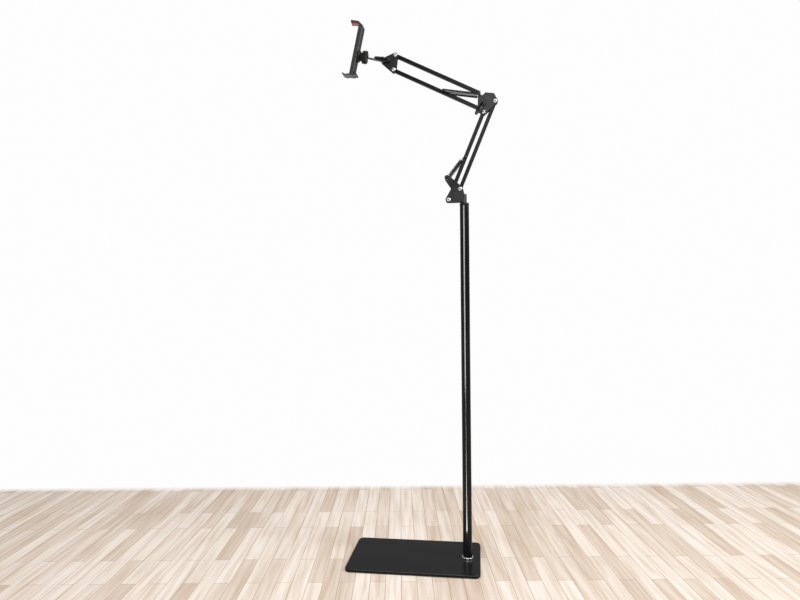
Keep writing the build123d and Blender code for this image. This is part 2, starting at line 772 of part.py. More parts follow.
def seat_shell(start_angle, end_angle):
    """Part of a hollow sphere between two angles from the holder's normal."""
    reach = 2 * seat_outer_radius
    points = [(0, 0)]
    for angle in (start_angle, (start_angle + end_angle) / 2, end_angle):
        turn = math.radians(angle)
        points.append((reach * math.cos(turn), reach * math.sin(turn)))
    section = (Circle(seat_outer_radius) - Circle(seat_inner_radius)) & make_face(Polyline(*points, close=True))
    return revolve(section, Axis.X)


def make_socket():
    cone_end = holder_back - socket_flange_thickness
    cone_start = cone_end - socket_cone_length
    neck_radius = socket_neck_diameter / 2
    body = turned([
        (socket_mouth, 0), (socket_mouth, neck_radius), (cone_start, neck_radius),
        (cone_end, socket_flange_diameter / 2), (holder_back, socket_flange_diameter / 2), (holder_back, 0)])
    body -= Sphere(socket_ball_radius)
    for side in (-1, 1):
        body -= axle(
            holder_back - socket_screw_reach + holder_wall, holder_back + cut_overrun,
            socket_screw_diameter / 2 + press_clearance, 0, side * socket_screw_spacing / 2)
    return body


def make_nut():
    outer_radius = nut_diameter / 2
    body = turned([(nut_front, 0), (nut_front, outer_radius), (nut_back, outer_radius), (nut_back, 0)])
    groove_centre = outer_radius - nut_groove_depth + nut_groove_radius
    for index in range(nut_lobes):
        turn = math.radians(360 / nut_lobes * (index + 0.5))
        body -= axle(
            nut_front - cut_overrun, nut_back + cut_overrun, nut_groove_radius,
            groove_centre * math.cos(turn), groove_centre * math.sin(turn))
    rims = body.edges().filter_by(GeomType.LINE, reverse=True)
    body = fillet(rims, nut_edge_fillet)
    body -= axle(nut_bore_start, nut_back + cut_overrun, socket_neck_diameter / 2 + running_clearance)
    body -= Sphere(socket_ball_radius)
    return body - turned([
        (nut_throat_depth, 0), (nut_throat_depth, nut_throat_radius),
        (nut_front, nut_mouth_radius), (nut_front - cut_overrun, nut_mouth_radius), (nut_front - cut_overrun, 0)])


def make_socket_screws():
    screws = []
    seat = holder_back + holder_wall
    for side in (-1, 1):
        across = side * socket_screw_spacing / 2
        shank = axle(seat - socket_screw_reach, seat, socket_screw_diameter / 2, 0, across)
        head = axle(seat, seat + socket_screw_head_height, socket_screw_head_diameter / 2, 0, across)
        screws.append(shank + head)
    return group(screws)


def rounded_back(solid):
    """Round the two long rear edges of a clamp piece."""
    edges = solid.edges().filter_by(Axis.Y).group_by(Axis.X)[0]
    outer = [edge for edge in edges if abs(abs(edge.center().Z) - half_width) < cut_overrun / 100]
    return fillet(outer, holder_back_radius)


# Casing: a moulded channel with guide ribs for the tongue, spring posts and a screw post, and its cover
rib_inner = tongue_width / 2 + tongue_clearance
jaw_spring_x = (holder_back + holder_wall + cover_back) / 2


def make_casing():
    body = rounded_back(block(holder_back, cover_back, holder_bottom, holder_parting, half_width))
    cavity = block(
        holder_back + holder_wall, holder_front + cut_overrun, cavity_bottom, holder_parting + cut_overrun,
        cavity_half)
    body -= cavity
    for side in (-1, 1):
        rib = Pos(0, 0, side * (rib_inner + guide_rib_thickness / 2)) * block(
            holder_back + holder_wall, cover_back, tongue_bottom, holder_parting, guide_rib_thickness / 2)
        body += rib
        post = Pos(jaw_spring_x, cavity_bottom + jaw_spring_lug_height / 2, side * jaw_spring_spacing / 2) * Box(
            jaw_spring_lug_width, jaw_spring_lug_height, jaw_spring_lug_width)
        body += post
        body -= axle(
            holder_back - cut_overrun, holder_back + 2 * holder_wall,
            socket_screw_diameter / 2 + press_clearance, 0, side * socket_screw_spacing / 2)
        hole = Pos((holder_back + cover_back) / 2, holder_bottom, side * lower_jaw_screw_spacing / 2) * Rot(
            90, 0, 0) * Cylinder(lower_jaw_screw_diameter / 2 + press_clearance, 2 * casing_floor_wall)
        body -= hole
    body += axle(holder_back + holder_wall, cover_back, cover_post_diameter / 2, cover_post_height)
    bore = axle(
        cover_back - cover_screw_reach + cover_thickness, cover_back + cut_overrun,
        cover_screw_diameter / 2 + press_clearance, cover_post_height)
    return body - bore


def make_cover():
    plate = block(cover_back, holder_front, holder_bottom, holder_parting, half_width)
    front_edges = plate.edges().filter_by(Axis.Y).group_by(Axis.X)[-1]
    plate = fillet(front_edges, holder_front_radius)
    plate -= axle(
        cover_back - cut_overrun, holder_front + cut_overrun, cover_screw_diameter / 2 + press_clearance,
        cover_post_height)
    seat = holder_front - cover_screw_head_height
    return plate - axle(
        seat, holder_front + cut_overrun, cover_screw_head_diameter / 2 + press_clearance, cover_post_height)


def make_cover_screw():
    seat = holder_front - cover_screw_head_height
    head = axle(seat, holder_front, cover_screw_head_diameter / 2, cover_post_height)
    tip = cover_back - cover_screw_reach + cover_thickness
    return head + axle(tip, seat, cover_screw_diameter / 2, cover_post_height)


# Upper jaw: a block that carries on the casing's section, with a hooked lip and the tongue that slides inside
upper_jaw_bottom = holder_parting + holder_parting_gap
lip_underside = upper_jaw_crown - jaw_lip_thickness
jaw_tip = holder_front + jaw_reach


def make_upper_jaw():
    outline = Polyline(
        (holder_back, upper_jaw_bottom),
        (holder_back, upper_jaw_shoulder),
        (holder_back + upper_jaw_slope_start, upper_jaw_shoulder + upper_jaw_slope_rise),
        (holder_back + upper_jaw_slope_run, upper_jaw_crown),
        (jaw_tip, upper_jaw_crown),
        (jaw_tip, lip_underside - jaw_hook_depth),
        (jaw_tip - jaw_hook_thickness, lip_underside - jaw_hook_depth),
        (jaw_tip - jaw_hook_thickness, lip_underside),
        (holder_front + jaw_root_step, lip_underside),
        (holder_front, lip_underside - jaw_root_step),
        (holder_front, upper_jaw_bottom),
        close=True)
    jaw = extrude(make_face(outline), amount=half_width, both=True)
    tip_edges = jaw.edges().filter_by(Axis.Z).group_by(Axis.X)[-1]
    jaw = fillet(tip_edges, jaw_tip_radius)
    jaw = rounded_back(jaw)
    floor = holder_back + holder_wall + tongue_clearance
    tongue = block(floor, cover_back - tongue_clearance, tongue_bottom, upper_jaw_bottom, tongue_width / 2)
    jaw += tongue
    lug_bottom = upper_jaw_bottom - jaw_spring_lug_height
    for side in (-1, 1):
        jaw += Pos(0, 0, side * jaw_spring_spacing / 2) * block(
            jaw_spring_x - jaw_spring_lug_width / 2, jaw_spring_x + jaw_spring_lug_width / 2,
            lug_bottom, upper_jaw_bottom, jaw_spring_lug_width / 2)
    return jaw


def make_upper_pad():
    return block(
        holder_front + jaw_pad_end_margin, jaw_tip - jaw_hook_thickness,
        lip_underside - jaw_pad_thickness, lip_underside, half_width - jaw_pad_side_margin)


def make_jaw_springs():
    """Two hidden return springs, each as the tube of its outer size."""
    low = cavity_bottom + jaw_spring_lug_height
    high = upper_jaw_bottom - jaw_spring_lug_height
    tubes = []
    for side in (-1, 1):
        seat = Pos(jaw_spring_x, (low + high) / 2, side * jaw_spring_spacing / 2) * Rot(90, 0, 0)
        tubes.append(
            seat * Cylinder(jaw_spring_diameter / 2, high - low)
            - seat * Cylinder(jaw_spring_bore / 2, high - low + 2 * cut_overrun))
    return group(tubes)


# Lower jaw: a plate under the casing that runs forward as a sagging tray and back as a short foot
tray_bottom = holder_bottom - lower_jaw_plate
tray_sag_x = holder_front + lower_jaw_sag_reach
tray_tip = holder_front + lower_jaw_reach


def make_lower_jaw():
    outline = Polyline(
        (holder_back, holder_bottom),
        (holder_back, holder_bottom + rear_foot_top),
        (holder_back - rear_foot_reach, holder_bottom + rear_foot_top - rear_foot_drop),
        (holder_back - rear_foot_reach, holder_bottom + rear_foot_top - rear_foot_drop - rear_foot_thickness),
        (holder_back, holder_bottom - lower_jaw_plate / 2),
        (holder_back + lower_jaw_heel, tray_bottom),
        (holder_front, tray_bottom),
        (tray_sag_x, tray_bottom - lower_jaw_sag),
        (tray_tip - jaw_hook_thickness, tray_bottom - lower_jaw_sag / 2),
        (tray_tip, holder_bottom - lower_jaw_sag / 2 - lower_jaw_tip_drop),
        (tray_tip, holder_bottom - lower_jaw_sag / 2 + lower_jaw_tip_rise),
        (tray_tip - jaw_hook_thickness, holder_bottom - lower_jaw_sag / 2 + lower_jaw_tip_rise),
        (tray_tip - jaw_hook_thickness, holder_bottom - lower_jaw_sag / 2),
        (tray_sag_x, holder_bottom - lower_jaw_sag),
        (holder_front + jaw_root_step, holder_bottom),
        close=True)
    jaw = extrude(make_face(outline), amount=half_width, both=True)
    tip_edges = jaw.edges().filter_by(Axis.Z).group_by(Axis.X)[-1]
    jaw = fillet(tip_edges, jaw_tip_radius)
    middle = (holder_back + cover_back) / 2
    for side in (-1, 1):
        seat = Pos(middle, tray_bottom, side * lower_jaw_screw_spacing / 2) * Rot(90, 0, 0)
        jaw -= seat * Cylinder(lower_jaw_screw_diameter / 2 + press_clearance, 4 * lower_jaw_plate)
        jaw -= seat * Cylinder(
            lower_jaw_screw_head_diameter / 2 + press_clearance, 2 * lower_jaw_screw_head_height)
    return jaw


def make_lower_pad():
    start = holder_front + jaw_pad_end_margin
    start_drop = lower_jaw_sag * (start - holder_front - jaw_root_step) / (lower_jaw_sag_reach - jaw_root_step)
    end = tray_tip - jaw_hook_thickness
    outline = Polyline(
        (start, holder_bottom - start_drop),
        (tray_sag_x, holder_bottom - lower_jaw_sag),
        (end, holder_bottom - lower_jaw_sag / 2),
        (end, holder_bottom - lower_jaw_sag / 2 + jaw_pad_thickness),
        (tray_sag_x, holder_bottom - lower_jaw_sag + jaw_pad_thickness),
        (start, holder_bottom - start_drop + jaw_pad_thickness),
        close=True)
    return extrude(make_face(outline), amount=half_width - jaw_pad_side_margin, both=True)


def make_lower_jaw_screws():
    middle = (holder_back + cover_back) / 2
    seat = tray_bottom + lower_jaw_screw_head_height
    screws = []
    for side in (-1, 1):
        across = side * lower_jaw_screw_spacing / 2
        head = Pos(middle, seat - lower_jaw_screw_head_height / 2, across) * Rot(90, 0, 0) * Cylinder(
            lower_jaw_screw_head_diameter / 2, lower_jaw_screw_head_height)
        shank = Pos(middle, seat + lower_jaw_screw_length / 2 - lower_jaw_screw_head_height / 2, across) * Rot(
            90, 0, 0) * Cylinder(lower_jaw_screw_diameter / 2, lower_jaw_screw_length - lower_jaw_screw_head_height)
        screws.append(head + shank)
    return group(screws)


# Base and pole
save(make_base_plate(), "base_plate")
save(make_anti_slip_mat(), "anti_slip_mat")
save(make_pole_bolt(), "pole_bolt")
save(make_foot_plug(), "pole_foot_plug")
save(make_foot_ring(), "foot_ring")
save(make_pole(), "pole")
save(make_top_bush(), "pole_top_bush")

# Bracket
save(make_spigot(), "bracket_spigot")
cheeks = both_sides(make_cheek())
save(cheeks[0], "bracket_cheek_front")
save(cheeks[1], "bracket_cheek_rear")
save(group([make_rivet(bracket_front_pivot), make_rivet(bracket_rear_pivot)]), "bracket_rivets")
save(make_washers([bracket_front_pivot, bracket_rear_pivot]), "bracket_washers")

# Lower arm
save(make_bar(bracket_front_pivot, elbow_front_pivot, 0, lower_spring_pin_reach), "lower_front_bar")
save(make_bar_plugs(bracket_front_pivot, elbow_front_pivot, 0), "lower_front_bar_plugs")
save(make_bar(bracket_rear_pivot, elbow_rear_pivot, open_pivot_clearance), "lower_rear_bar")
save(make_bar_plugs(bracket_rear_pivot, elbow_rear_pivot, open_pivot_clearance), "lower_rear_bar_plugs")
save(make_spring_pin(bracket_front_pivot, elbow_front_pivot, lower_spring_pin_reach), "lower_spring_pin")
lower_pin = polar(bracket_front_pivot, lower_arm_angle, lower_spring_pin_reach)
lower_springs = both_sides(make_spring(
    lower_pin, 1, ear_slot, 0, 1, lower_spring_wire, lower_spring_turns, lower_spring_pin_lead,
    lower_spring_ear_lead))
save(lower_springs[0], "lower_spring_front")
save(lower_springs[1], "lower_spring_rear")

# Elbow
plates = both_sides(make_elbow_plate())
save(plates[0], "elbow_plate_front")
save(plates[1], "elbow_plate_rear")
save(group([make_rivet(elbow_front_pivot), make_rivet(elbow_rear_pivot)]), "elbow_rivets")
save(make_elbow_spring_bolt(), "elbow_spring_bolt")
save(make_wing_bolt(elbow_wing_pivot), "elbow_wing_bolt")
save(
    make_washers([elbow_front_pivot, elbow_rear_pivot, elbow_top_pivot, elbow_wing_pivot]),
    "elbow_washers")
save(make_knob_washer(elbow_wing_pivot), "elbow_knob_washer")
save(make_wing_knob(elbow_wing_pivot, elbow_knob_angle), "elbow_wing_knob")

# Upper arm
save(make_bar(elbow_top_pivot, head_top_pivot, open_pivot_clearance), "upper_top_bar")
save(make_bar_plugs(elbow_top_pivot, head_top_pivot, open_pivot_clearance), "upper_top_bar_plugs")
save(make_bar(elbow_wing_pivot, head_bottom_pivot, 0, upper_spring_pin_reach), "upper_bottom_bar")
save(make_bar_plugs(elbow_wing_pivot, head_bottom_pivot, 0), "upper_bottom_bar_plugs")
save(make_spring_pin(elbow_wing_pivot, head_bottom_pivot, upper_spring_pin_reach), "upper_spring_pin")
upper_pin = polar(elbow_wing_pivot, upper_arm_angle, upper_spring_pin_reach)
bolt_loop = rivet_diameter / 2 + spring_loop_clearance + upper_spring_wire / 2
upper_springs = both_sides(make_spring(
    upper_pin, 1, elbow_top_pivot, bolt_loop, 1, upper_spring_wire, upper_spring_turns, upper_spring_pin_lead,
    upper_spring_bolt_lead))
save(upper_springs[0], "upper_spring_front")
save(upper_springs[1], "upper_spring_rear")

# Head
plates = both_sides(make_head_plate())
save(plates[0], "head_plate_front")
save(plates[1], "head_plate_rear")
save(group([make_rivet(head_top_pivot), make_rivet(head_bottom_pivot)]), "head_rivets")
save(make_washers([head_top_pivot, head_bottom_pivot]), "head_washers")
save(make_wing_bolt(head_tip_pivot), "head_wing_bolt")
save(make_knob_washer(head_tip_pivot), "head_knob_washer")
save(make_wing_knob(head_tip_pivot, head_knob_angle), "head_wing_knob")

# Ball joint
save(make_ball_rod(), "ball_rod")
save(holder_frame * seat_shell(0, seat_cup_angle), "ball_seat_cup")
save(holder_frame * seat_shell(seat_ring_start_angle, seat_ring_end_angle), "ball_seat_ring")
save(holder_frame * make_socket(), "ball_socket")
save(holder_frame * make_nut(), "ball_nut")
save(holder_frame * make_socket_screws(), "socket_screws")

# Tablet clamp
save(holder_frame * make_casing(), "clamp_casing")
save(holder_frame * make_cover(), "clamp_cover")
save(holder_frame * make_cover_screw(), "clamp_cover_screw")
save(holder_frame * make_upper_jaw(), "upper_jaw")
save(holder_frame * make_upper_pad(), "upper_jaw_pad")
save(holder_frame * make_jaw_springs(), "jaw_springs")
save(holder_frame * make_lower_jaw(), "lower_jaw")
save(holder_frame * make_lower_pad(), "lower_jaw_pad")
save(holder_frame * make_lower_jaw_screws(), "lower_jaw_screws")
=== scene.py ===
import json
import math

import bmesh
import bpy
import numpy as np
from mathutils import Matrix, Vector

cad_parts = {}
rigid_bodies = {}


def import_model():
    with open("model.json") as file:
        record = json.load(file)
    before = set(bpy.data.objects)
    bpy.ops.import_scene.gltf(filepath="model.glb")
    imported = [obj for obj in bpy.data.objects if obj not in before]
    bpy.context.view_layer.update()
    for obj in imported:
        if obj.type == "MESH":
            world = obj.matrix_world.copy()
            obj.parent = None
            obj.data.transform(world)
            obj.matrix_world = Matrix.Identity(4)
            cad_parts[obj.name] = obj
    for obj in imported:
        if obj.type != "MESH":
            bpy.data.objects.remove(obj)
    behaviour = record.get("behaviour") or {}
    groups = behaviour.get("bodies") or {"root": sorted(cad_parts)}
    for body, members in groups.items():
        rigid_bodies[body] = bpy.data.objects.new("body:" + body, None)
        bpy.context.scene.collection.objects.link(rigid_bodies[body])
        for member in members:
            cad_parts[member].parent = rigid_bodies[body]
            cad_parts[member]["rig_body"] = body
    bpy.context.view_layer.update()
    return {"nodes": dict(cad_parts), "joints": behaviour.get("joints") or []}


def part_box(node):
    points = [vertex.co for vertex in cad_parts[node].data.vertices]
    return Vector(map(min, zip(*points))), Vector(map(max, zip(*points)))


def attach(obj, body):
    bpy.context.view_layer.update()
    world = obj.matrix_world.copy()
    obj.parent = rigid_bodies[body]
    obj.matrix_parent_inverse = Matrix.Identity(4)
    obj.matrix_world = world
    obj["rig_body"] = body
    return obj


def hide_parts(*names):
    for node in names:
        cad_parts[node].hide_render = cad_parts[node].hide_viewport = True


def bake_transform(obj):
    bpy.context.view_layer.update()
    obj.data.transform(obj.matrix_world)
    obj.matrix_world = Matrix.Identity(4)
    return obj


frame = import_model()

# Studio: the camera stands where the photograph was taken from, found by fitting the stand's corners to the picture.
# A floor of pale boards ends at a white wall, and the light room is dark behind the camera. Softboxes and an even
# light from above complete it. None of it belongs to the stand.
scene = bpy.context.scene
camera_place = (0.1837, -1.6352, 0.7166)
camera_yaw = math.radians(-7.69)
camera_pitch = math.radians(0.187)
camera_roll = math.radians(-0.525)
ahead = Vector((
    math.sin(camera_yaw) * math.cos(camera_pitch), math.cos(camera_yaw) * math.cos(camera_pitch),
    math.sin(camera_pitch)))
level = Vector((math.cos(camera_yaw), -math.sin(camera_yaw), 0))
upright = level.cross(ahead)
across = level * math.cos(camera_roll) + upright * math.sin(camera_roll)
upward = upright * math.cos(camera_roll) - level * math.sin(camera_roll)
camera = bpy.data.objects.new("photo_camera", bpy.data.cameras.new("photo_camera"))
camera.data.sensor_width = 36
camera.data.lens = 36 * 587.8 / 800
camera.data.clip_start = 0.02
camera.data.clip_end = 100
camera.matrix_world = Matrix.Translation(camera_place) @ Matrix((across, upward, -ahead)).transposed().to_4x4()
scene.collection.objects.link(camera)
scene.camera = camera
scene.view_settings.view_transform = "Standard"


class Tap:
    """A socket of a material's nodes. + - * / and ** on it add Math nodes."""

    def __init__(self, finish, socket):
        self.finish = finish
        self.socket = socket

    def sum_node(self, operation, first, second):
        return self.finish.node("ShaderNodeMath", {"operation": operation}, {0: first, 1: second})

    def __add__(self, other):
        return self.sum_node("ADD", self, other)

    def __radd__(self, other):
        return self.sum_node("ADD", other, self)

    def __sub__(self, other):
        return self.sum_node("SUBTRACT", self, other)

    def __rsub__(self, other):
        return self.sum_node("SUBTRACT", other, self)

    def __mul__(self, other):
        return self.sum_node("MULTIPLY", self, other)

    def __rmul__(self, other):
        return self.sum_node("MULTIPLY", other, self)

    def __pow__(self, other):
        return self.sum_node("POWER", self, other)


class Finish:
    """A surface finish: a material with one Principled shader. What is the same all over is set on its sockets."""

    def __init__(self, name, tree=None, **constants):
        if tree is None:
            self.material = bpy.data.materials.new(name)
            self.material.use_nodes = True
            tree = self.material.node_tree
            self.shader = tree.nodes["Principled BSDF"]
            for key, value in constants.items():
                self.shader.inputs[key.replace("_", " ")].default_value = value
        self.tree = tree

    def node(self, kind, settings, inputs, output=0):
        """Add a node: its settings first, ramp stops among them, then a value or a link for each named socket."""
        made = self.tree.nodes.new(kind)
        for key, value in settings.items():
            if key == "stops":
                ramp = made.color_ramp.elements
                while len(ramp) < len(value):
                    ramp.new(0.5)
                for element, (place, tone) in zip(ramp, value):
                    element.position = place
                    element.color = tone
            else:
                setattr(made, key, value)
        for key, value in inputs.items():
            if isinstance(value, Tap):
                self.tree.links.new(value.socket, made.inputs[key])
            else:
                made.inputs[key].default_value = value
        return Tap(self, made.outputs[output])

    def place(self, stretch=(1, 1, 1), turn=(0, 0, 0)):
        """The point's place on the stand, turned and stretched, in metres."""
        spot = self.node("ShaderNodeTexCoord", {}, {}, "Object")
        return self.node("ShaderNodeMapping", {}, {"Vector": spot, "Scale": stretch, "Rotation": turn})

    def cloud(self, size, detail=2, stretch=(1, 1, 1), turn=(0, 0, 0)):
        """Soft noise whose blotches are about size millimetres across."""
        return self.node(
            "ShaderNodeTexNoise", {}, {"Vector": self.place(stretch, turn), "Scale": 1000 / size, "Detail": detail})

    def between(self, mask, first, second):
        """A colour that goes from first to second as mask goes from 0 to 1."""
        return self.node("ShaderNodeMix", {"data_type": "RGBA"}, {0: mask, 6: (*first, 1), 7: (*second, 1)}, 2)

    def contrast(self, mask, low, high):
        """The mask stretched so that low becomes 0 and high becomes 1, and cut off beyond."""
        return self.node("ShaderNodeMapRange", {}, {0: mask, 1: low, 2: high, 3: 0.0, 4: 1.0})

    def feed(self, name, value):
        self.tree.links.new(value.socket, self.shader.inputs[name])

    def relief(self, height, depth):
        """Raise the surface by height times depth millimetres."""
        bumped = self.node("ShaderNodeBump", {}, {"Height": height, "Distance": depth / 1000, "Strength": 1.0})
        self.feed("Normal", bumped)


floor_mesh = bpy.data.meshes.new("studio_floor")
floor_mesh.from_pydata([(-40, -40, 0), (40, -40, 0), (40, 40, 0), (-40, 40, 0)], [], [(0, 1, 2, 3)])
studio_floor = bpy.data.objects.new("studio_floor", floor_mesh)
scene.collection.objects.link(studio_floor)
floor_paint = Finish("pale_boards", Roughness=0.8, Specular_IOR_Level=0.1, Emission_Strength=0.03,
                     Emission_Color=(1.0, 0.93, 0.86, 1))
along_view = math.radians(-90) + camera_yaw
floor_spot = floor_paint.place((1, 1, 1), (0, 0, along_view))
board_length = 0.37
board_width = 0.040
board_seam = 0.0009
boards = floor_paint.node(
    "ShaderNodeTexBrick", {"offset": 0.37, "offset_frequency": 2},
    {"Vector": floor_spot, "Color1": (0.78, 0.70, 0.63, 1), "Color2": (0.53, 0.41, 0.31, 1),
     "Mortar": (0.36, 0.27, 0.20, 1), "Scale": 1.0, "Mortar Size": board_seam, "Mortar Smooth": 0.6, "Bias": -0.3,
     "Brick Width": board_length, "Row Height": board_width})
drawn_out = floor_paint.node("ShaderNodeMapping", {}, {"Vector": floor_spot, "Scale": (0.06, 1, 1)})
wood_lines = floor_paint.contrast(
    floor_paint.node("ShaderNodeTexNoise", {}, {"Vector": drawn_out, "Scale": 70.0, "Detail": 4.0}), 0.40, 0.72)
floor_paint.feed("Base Color", floor_paint.node(
    "ShaderNodeMix", {"data_type": "RGBA", "blend_type": "MULTIPLY"},
    {0: 0.8 * wood_lines, 6: boards, 7: (0.74, 0.64, 0.54, 1)}, 2))
wall_place = (0.61, 0.66)
far_fade = (2.4, 7.0)
floor_depth = floor_paint.node("ShaderNodeSeparateXYZ", {}, {0: floor_spot}, 0)
floor_distance = floor_paint.node("ShaderNodeVectorMath", {"operation": "LENGTH"}, {0: floor_spot}, 1)
behind_wall = floor_paint.contrast(floor_depth, *wall_place)
far_off = floor_paint.contrast(floor_distance, *far_fade)
backdrop_white = (0.985, 0.985, 0.985, 1)
glow = floor_paint.node("ShaderNodeEmission", {}, {"Color": backdrop_white})
plain_floor = Tap(floor_paint, floor_paint.shader.outputs[0])
fade = floor_paint.node("ShaderNodeMath", {"operation": "MAXIMUM"}, {0: behind_wall, 1: far_off})
faded_floor = floor_paint.node("ShaderNodeMixShader", {}, {0: fade, 1: plain_floor, 2: glow})
floor_out = floor_paint.tree.nodes["Material Output"]
floor_paint.tree.links.new(faded_floor.socket, floor_out.inputs["Surface"])
floor_mesh.materials.append(floor_paint.material)

room = bpy.data.worlds.new("light_room")
scene.world = room
room.use_nodes = True
air = Finish("", room.node_tree)
toward = air.node("ShaderNodeTexCoord", {}, {}, "Generated")
split = [air.node("ShaderNodeSeparateXYZ", {}, {0: toward}, part) for part in range(3)]
dark_front = air.between(air.contrast(split[1], -0.25, 0.35), (0.05, 0.05, 0.052), (0.28, 0.28, 0.285))
bright_sides = air.between(air.contrast(split[0] * split[0], 0.25, 0.9), (0, 0, 0), (0.60, 0.60, 0.61))
bright_top = air.between(air.contrast(split[2], 0.5, 0.95), (0, 0, 0), (0.50, 0.50, 0.50))
sides_and_front = air.node(
    "ShaderNodeMix", {"data_type": "RGBA", "blend_type": "LIGHTEN"}, {0: 1.0, 6: dark_front, 7: bright_sides}, 2)
surround = air.node(
    "ShaderNodeMix", {"data_type": "RGBA", "blend_type": "LIGHTEN"}, {0: 1.0, 6: sides_and_front, 7: bright_top}, 2)
seen = air.node("ShaderNodeLightPath", {}, {}, "Is Camera Ray")
shown = air.node("ShaderNodeMix", {"data_type": "RGBA"}, {0: seen, 6: surround, 7: backdrop_white}, 2)
room.node_tree.links.new(shown.socket, room.node_tree.nodes["Background"].inputs["Color"])


def soft_lamp(name, place, aim, width, height, power):
    """A rectangular softbox that faces the aimed point."""
    lamp = bpy.data.lights.new(name, "AREA")
    lamp.shape = "RECTANGLE"
    lamp.size = width
    lamp.size_y = height
    lamp.energy = power
    box = bpy.data.objects.new(name, lamp)
    box.location = place
    box.rotation_euler = (Vector(aim) - Vector(place)).to_track_quat("-Z", "Y").to_euler()
    box.visible_camera = False
    scene.collection.objects.link(box)
    return box


def lit_only(box):
    """A collection: the softbox lights only what is put into it."""
    box.light_linking.receiver_collection = bpy.data.collections.new(box.name + "_lit")
    return box.light_linking.receiver_collection.objects


soft_lamp("elbow_softbox", (0.52, -3.0, 2.05), (0.15, 0.0, 1.1), 0.95, 1.15, 30)
soft_lamp("edge_softbox", (2.2, -0.6, 2.3), (0.0, 0.0, 1.3), 0.5, 1.4, 45)
clamp_lit = lit_only(soft_lamp("clamp_softbox", (-0.85, -3.0, 2.75), (-0.15, 0.0, 1.4), 0.8, 1.0, 4.5))
floor_lit = lit_only(soft_lamp("rim_softbox", (0.0, -1.0, 2.2), (0.0, -0.1, 0.0), 1.6, 0.3, 15))
floor_lit.link(studio_floor)
metal_lit = lit_only(soft_lamp("metal_softbox", (-0.1, -2.6, 1.9), (0.1, 0.0, 1.2), 1.6, 1.6, 34))
pole_lit = lit_only(soft_lamp("tall_strip", (-0.7, -2.94, 1.0), (0.145, 0.0, 0.9), 1.4, 2.0, 560))
low_strip = soft_lamp("low_strip", (-0.159, -1.51, 0.03), (-0.159, -1.51, 1.0), 0.06, 2.85, 60)
low_strip.rotation_euler = (0, math.pi, math.radians(-11.4))
pole_foot_lit = lit_only(low_strip)
sky = bpy.data.lights.new("overhead_sky", "SUN")
sky.angle = math.radians(75)
sky.energy = 1.0
overhead = bpy.data.objects.new("overhead_sky", sky)
overhead.rotation_euler = (math.radians(12), math.radians(-10), 0)
scene.collection.objects.link(overhead)

# Base plate: 7 mm sheet steel, cut to a rounded rectangle with a bevelled rim and counterbored from below.
# It has a smooth, half-gloss black coat with the faintest grain. The pole's bolt pulls it against the pole's foot.
powder_coat = Finish("powder_coat", Specular_IOR_Level=0.15)
grit = powder_coat.cloud(0.55, 3)
patches = powder_coat.cloud(60, 3)
powder_coat.feed("Base Color", powder_coat.between(
    powder_coat.contrast(grit * 0.8 + patches * 0.2, 0.35, 0.68), (0.007, 0.007, 0.007), (0.013, 0.013, 0.013)))
powder_coat.feed("Roughness", 0.17 + 0.12 * patches)
powder_coat.relief(grit, 0.008)


def ride_for(piece, node, body=None):
    """Let the piece stand for the CAD node and move with the node's body."""
    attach(piece, body or frame["nodes"][node]["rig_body"])
    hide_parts(node)


def eased(node, finish, round_off=0.3, sharp=30):
    """The CAD node's own form as a whole mesh: loose triangles merged, flat faces joined, hard edges rounded."""
    mesh = frame["nodes"][node].data.copy()
    whole = bmesh.new()
    whole.from_mesh(mesh)
    bmesh.ops.remove_doubles(whole, verts=whole.verts, dist=2e-6)
    bmesh.ops.dissolve_limit(whole, angle_limit=math.radians(0.4), verts=whole.verts, edges=whole.edges)
    whole.to_mesh(mesh)
    whole.free()
    mesh.materials.clear()
    mesh.materials.append(finish.material)
    mesh.shade_smooth()
    mesh.set_sharp_from_angle(angle=math.radians(sharp))
    piece = bpy.data.objects.new(node + "_finished", mesh)
    scene.collection.objects.link(piece)
    if round_off:
        bevel = piece.modifiers.new("eased_edges", "BEVEL")
        bevel.width = round_off / 1000
        bevel.segments = 2
        bevel.limit_method = "ANGLE"
        bevel.angle_limit = math.radians(sharp)
        bevel.use_clamp_overlap = True
        bevel.harden_normals = True
    ride_for(piece, node)
    return piece


floor_lit.link(eased("base_plate", powder_coat, 0.25, 20))

# Anti-slip mat: 1.5 mm black rubber sheet with a fine pimpled face, glued under the plate.
# A round opening leaves room for the head of the pole's bolt.
mat_rubber = Finish("mat_rubber", Roughness=0.85, Specular_IOR_Level=0.25)
pimples = mat_rubber.node("ShaderNodeTexVoronoi", {}, {"Vector": mat_rubber.place(), "Scale": 420.0}, "Distance")
mat_rubber.feed("Base Color", mat_rubber.between(
    mat_rubber.contrast(pimples, 0.1, 0.6), (0.030, 0.030, 0.031), (0.014, 0.014, 0.014)))
mat_rubber.relief(1 - pimples, 0.25)
eased("anti_slip_mat", mat_rubber, 0.15)

# Pole bolt and foot plug: a blackened socket-head screw goes up through the plate into a threaded steel plug.
# The plug is pressed into the pole's foot, so neither is seen from above.
black_oxide = Finish("black_oxide", Metallic=1.0)
scuffs = black_oxide.cloud(2.5, 4)
black_oxide.feed("Base Color", black_oxide.between(
    black_oxide.contrast(scuffs, 0.4, 0.75), (0.045, 0.045, 0.047), (0.12, 0.12, 0.125)))
black_oxide.feed("Roughness", 0.34 + 0.2 * scuffs)
turned_steel = Finish("turned_steel", Metallic=1.0)
tool_marks = turned_steel.cloud(3.0, 2, (0.2, 0.2, 8))
turned_steel.feed("Base Color", turned_steel.between(
    turned_steel.contrast(tool_marks, 0.3, 0.7), (0.42, 0.42, 0.43), (0.58, 0.58, 0.6)))
turned_steel.feed("Roughness", 0.26 + 0.16 * tool_marks)
eased("pole_bolt", black_oxide, 0.2)
eased("pole_foot_plug", turned_steel, 0)

